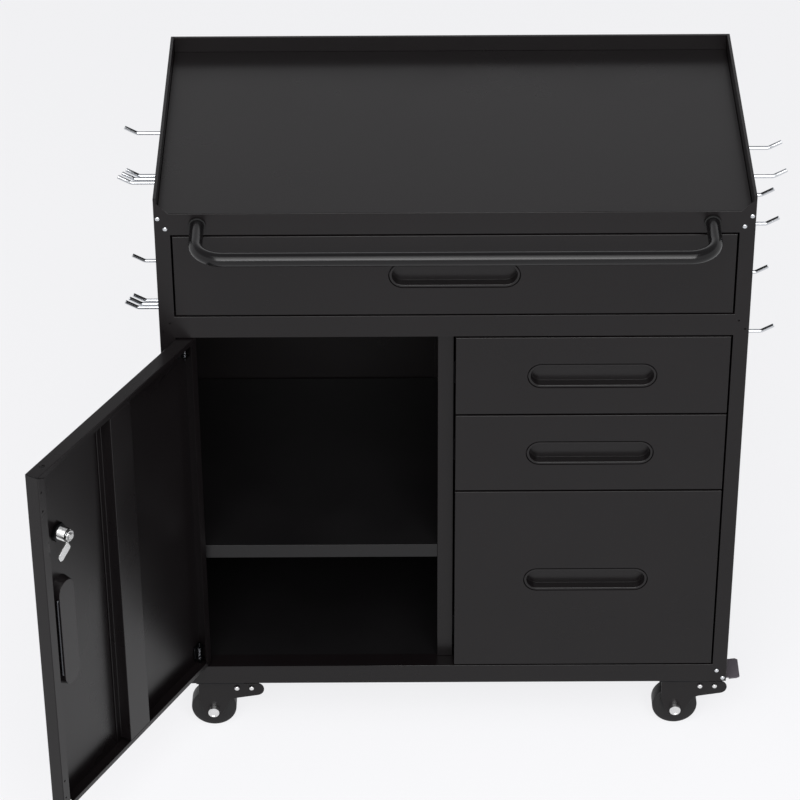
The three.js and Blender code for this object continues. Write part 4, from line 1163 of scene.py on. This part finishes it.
# %% [markdown]
# Each castor has a swivel plate, a pressed fork, a moulded wheel on an axle bolt and, in front, a
# brake pedal on a pin through the fork's ear. Fork, plate and pedal are folded sheet, so the
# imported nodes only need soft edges. Wheel and bolt are turned afresh, because their rounds are
# what catches the light. The ear's pin and its rivet show a dome head on each side, listed with
# their distance from the axle and from the fork's face.
#
# %% Castors
FORK_HALF = 18.0
EAR_HEADS = (("brake", 35.3, 1.5), ("castor", 56.8, 1.2))
EAR_PIN_RISE = 41.5
PRESSED_ROUND = 0.5
PEDAL_ROUND = 0.35
WHEEL_SIDES = 72
HEAD_COVER = 3.6
HEAD_RISE = 2.1
WHEEL_HALF = [(5.3, 15.2), (11.0, 15.2), (12.0, 14.4), (12.3, 11.9), (13.2, 11.3), (23.6, 11.3),
              (24.8, 12.0), (31.0, 12.0), (32.1, 11.6), (32.8, 10.9), (33.0, 10.0)]
WHEEL_PROFILE = [(r, -y) for r, y in WHEEL_HALF] + list(reversed(WHEEL_HALF))
AXLE_HEAD = [(0, -25.3), (5.6, -25.3), (6.1, -25.8), (7.5, -25.8), (8.0, -25.6), (8.2, -25.1),
             (8.2, -18.3), (5.0, -18.3), (5.0, 18.3), (0, 18.3)]
AXLE_NUT = [(0, 18.3), (7.6, 18.3), (8.4, 18.8), (8.4, 22.6), (7.6, 23.3), (0, 23.3)]


def axle_bolt(work, centre):
    """The bolt with its dished round head and the hex nut on its end."""
    turned(work, AXLE_HEAD, about(centre))
    turned(work, AXLE_NUT, about(centre), HEX_SIDES)


def dress_brake(corner, centre):
    """The pedal of a front castor and the dome heads on its fork's ear."""
    brake = f"{corner}_brake"
    dress_node(f"{brake}_pedal", brake, PEDAL_COAT, PEDAL_ROUND, FOLD_STEPS, SMALL_STEP)
    for part, along, rise in EAR_HEADS:
        for way, label in ((-1, "front"), (1, "back")):
            body = f"{corner}_{part}"
            out = way * (FORK_HALF + rise)
            head = spot(centre[0] + along, centre[1] + out, centre[2] + EAR_PIN_RISE)
            dome_heads(f"{body}_{label}_head", [head], HEAD_COVER, HEAD_RISE, (0, way, 0), NICKEL, body)


def make_castor(corner):
    """Dresses one castor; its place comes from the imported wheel's box."""
    low, high = node_box(f"{corner}_castor_wheel")
    centre = [(a + b) / 2 for a, b in zip(low, high)]
    swivel, wheel = f"{corner}_castor", f"{corner}_wheel"
    # The swivel plate's zinc is drawn nearly black as painted shade.
    dress_node(f"{corner}_castor_plate", "cabinet", BLACK_ZINC_AND_SHADE, PRESSED_ROUND)
    dress_node(f"{corner}_castor_fork", swivel, SATIN_COAT, PRESSED_ROUND, merge=SMALL_STEP)
    mesh = mesh_from(f"{corner}_tyre", lambda work: turned(
        work, WHEEL_PROFILE, about(centre), WHEEL_SIDES, closed=True))
    finish_mesh(f"{corner}_wheel_turned", mesh, WHEEL_POLYMER, wheel, [f"{corner}_castor_wheel"])
    mesh = mesh_from(f"{corner}_bolt", lambda work: axle_bolt(work, centre))
    finish_mesh(f"{corner}_axle_bolt", mesh, NICKEL, swivel, [f"{corner}_castor_axle"])
    if corner.startswith("front"):
        dress_brake(corner, centre)


CORNERS = ("front_left", "front_right", "rear_left", "rear_right")
for corner in CORNERS:
    make_castor(corner)
print("castors", len(CORNERS))

# %% [markdown]
# The floor is a large pale plane. For the camera, for gloss and for clear parts the background is
# white, by a Light Path in the floor's and the world's materials, and the floor still keeps a
# soft shadow. The black coat shows little else than this white room. The room is white up to 26
# degrees above the horizon and its roof is grey from 36 degrees up, as in a photographer's tent. A
# tall softbox in front, brightest at its lower edge, draws the thin light lines on lips and tubes.
# It is made of three panels on an arc, each dimmer than the one below. The two other lamps only
# light and aren't seen in the gloss.
#
# %% Floor, world and lamps
FLOOR_SIZE = 60.0
BACKGROUND = "f6f6f8"
FLOOR_PAINT = "f2f2f4"
FLOOR_GLOW = 1.05
SHADOW_SHARE = 0.16


def looks_at_it(tree):
    """1 for rays from the camera, off gloss or through glass, 0 for the light's own rays."""
    path = add(tree, "ShaderNodeLightPath").outputs
    seen = path["Is Camera Ray"]
    for other in ("Is Glossy Ray", "Is Transmission Ray"):
        either = add(tree, "ShaderNodeMath", {}, {0: seen, 1: path[other]}, operation="MAXIMUM")
        seen = either.outputs[0]
    return seen


def floor_material():
    """A pale floor that is background white where it is looked at and keeps a soft shadow."""
    material = bpy.data.materials.new("pale_floor")
    material.use_nodes = True
    tree = material.node_tree
    tree.nodes.clear()
    share = add(tree, "ShaderNodeMath", {1: 1 - SHADOW_SHARE}, {0: looks_at_it(tree)},
                operation="MULTIPLY")
    matte = add(tree, "ShaderNodeBsdfDiffuse", {"Color": linear(FLOOR_PAINT)})
    white = add(tree, "ShaderNodeEmission", {"Color": linear(BACKGROUND), "Strength": FLOOR_GLOW})
    mixed = add(tree, "ShaderNodeMixShader", {}, {
        0: share.outputs[0], 1: matte.outputs[0], 2: white.outputs[0]})
    add(tree, "ShaderNodeOutputMaterial", {}, {"Surface": mixed.outputs[0]})
    return material


def make_floor():
    """The floor as one large square that is part of the stage."""
    half = FLOOR_SIZE / 2
    mesh = bpy.data.meshes.new("floor")
    mesh.from_pydata([(-half, -half, 0), (half, -half, 0), (half, half, 0), (-half, half, 0)], [],
                     [(0, 1, 2, 3)])
    floor = bpy.data.objects.new("floor", mesh)
    bpy.context.collection.objects.link(floor)
    mesh.materials.append(floor_material())
    floor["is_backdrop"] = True


WORLD_GREY = "8c8c8e"
WORLD_LIGHT = 0.7
ROOM = ((26, BACKGROUND), (36, "9a9a9c"))


def make_world():
    """Even studio light, and the white room only where it is looked at."""
    world = bpy.data.worlds.new("studio")
    bpy.context.scene.world = world
    world.use_nodes = True
    tree = world.node_tree
    tree.nodes.clear()
    way = add(tree, "ShaderNodeTexCoord").outputs["Generated"]
    height = add(tree, "ShaderNodeSeparateXYZ", {}, {0: way}).outputs[2]
    ramp = add(tree, "ShaderNodeValToRGB", {}, {0: height})
    for stop, (degrees, code) in zip(ramp.color_ramp.elements, ROOM):
        stop.position = math.sin(math.radians(degrees))
        stop.color = linear(code)
    light = add(tree, "ShaderNodeBackground", {"Color": linear(WORLD_GREY), "Strength": WORLD_LIGHT})
    room = add(tree, "ShaderNodeBackground", {"Strength": 1.0}, {"Color": ramp.outputs[0]})
    mixed = add(tree, "ShaderNodeMixShader", {}, {
        0: looks_at_it(tree), 1: light.outputs[0], 2: room.outputs[0]})
    add(tree, "ShaderNodeOutputWorld", {}, {"Surface": mixed.outputs[0]})


def softbox(name, at, towards, size, power, in_gloss=True):
    """A soft lamp at a place in millimetres on the body, aimed at another."""
    data = bpy.data.lights.new(name, "AREA")
    data.shape = "RECTANGLE"
    data.size, data.size_y = size
    data.energy = power
    lamp = bpy.data.objects.new(name, data)
    bpy.context.collection.objects.link(lamp)
    lamp.visible_glossy = in_gloss
    lamp.visible_camera = False
    lamp.location = spot(*at)
    lamp.rotation_euler = (spot(*towards) - lamp.location).to_track_quat("-Z", "Y").to_euler()


make_floor()
make_world()
BOX_AIM = (0, 0, 700)
BOX_REACH = 3200.0
BOX_SIZE = (3.2, 1.1)
BOX_PANELS = ((28, 80), (48, 48), (68, 20))
for rise, power in BOX_PANELS:
    away = BOX_REACH * math.cos(math.radians(rise))
    above = BOX_AIM[2] + BOX_REACH * math.sin(math.radians(rise))
    softbox(f"front_{rise}", (0, -away, above), BOX_AIM, BOX_SIZE, power)
FILL_LAMPS = (("left", (-2400, -1800, 2200), (0, 0, 400), (1.6, 1.6), 6),
              ("top", (0, 300, 3600), (0, 200, 800), (3.0, 1.6), 15))
for name, place, aim, size, power in FILL_LAMPS:
    softbox(name, place, aim, size, power, in_gloss=False)
print("studio ready")

# %% [markdown]
# The last cell finds the box that the dressed pieces fill.
#
# %% Sizes
low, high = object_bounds()
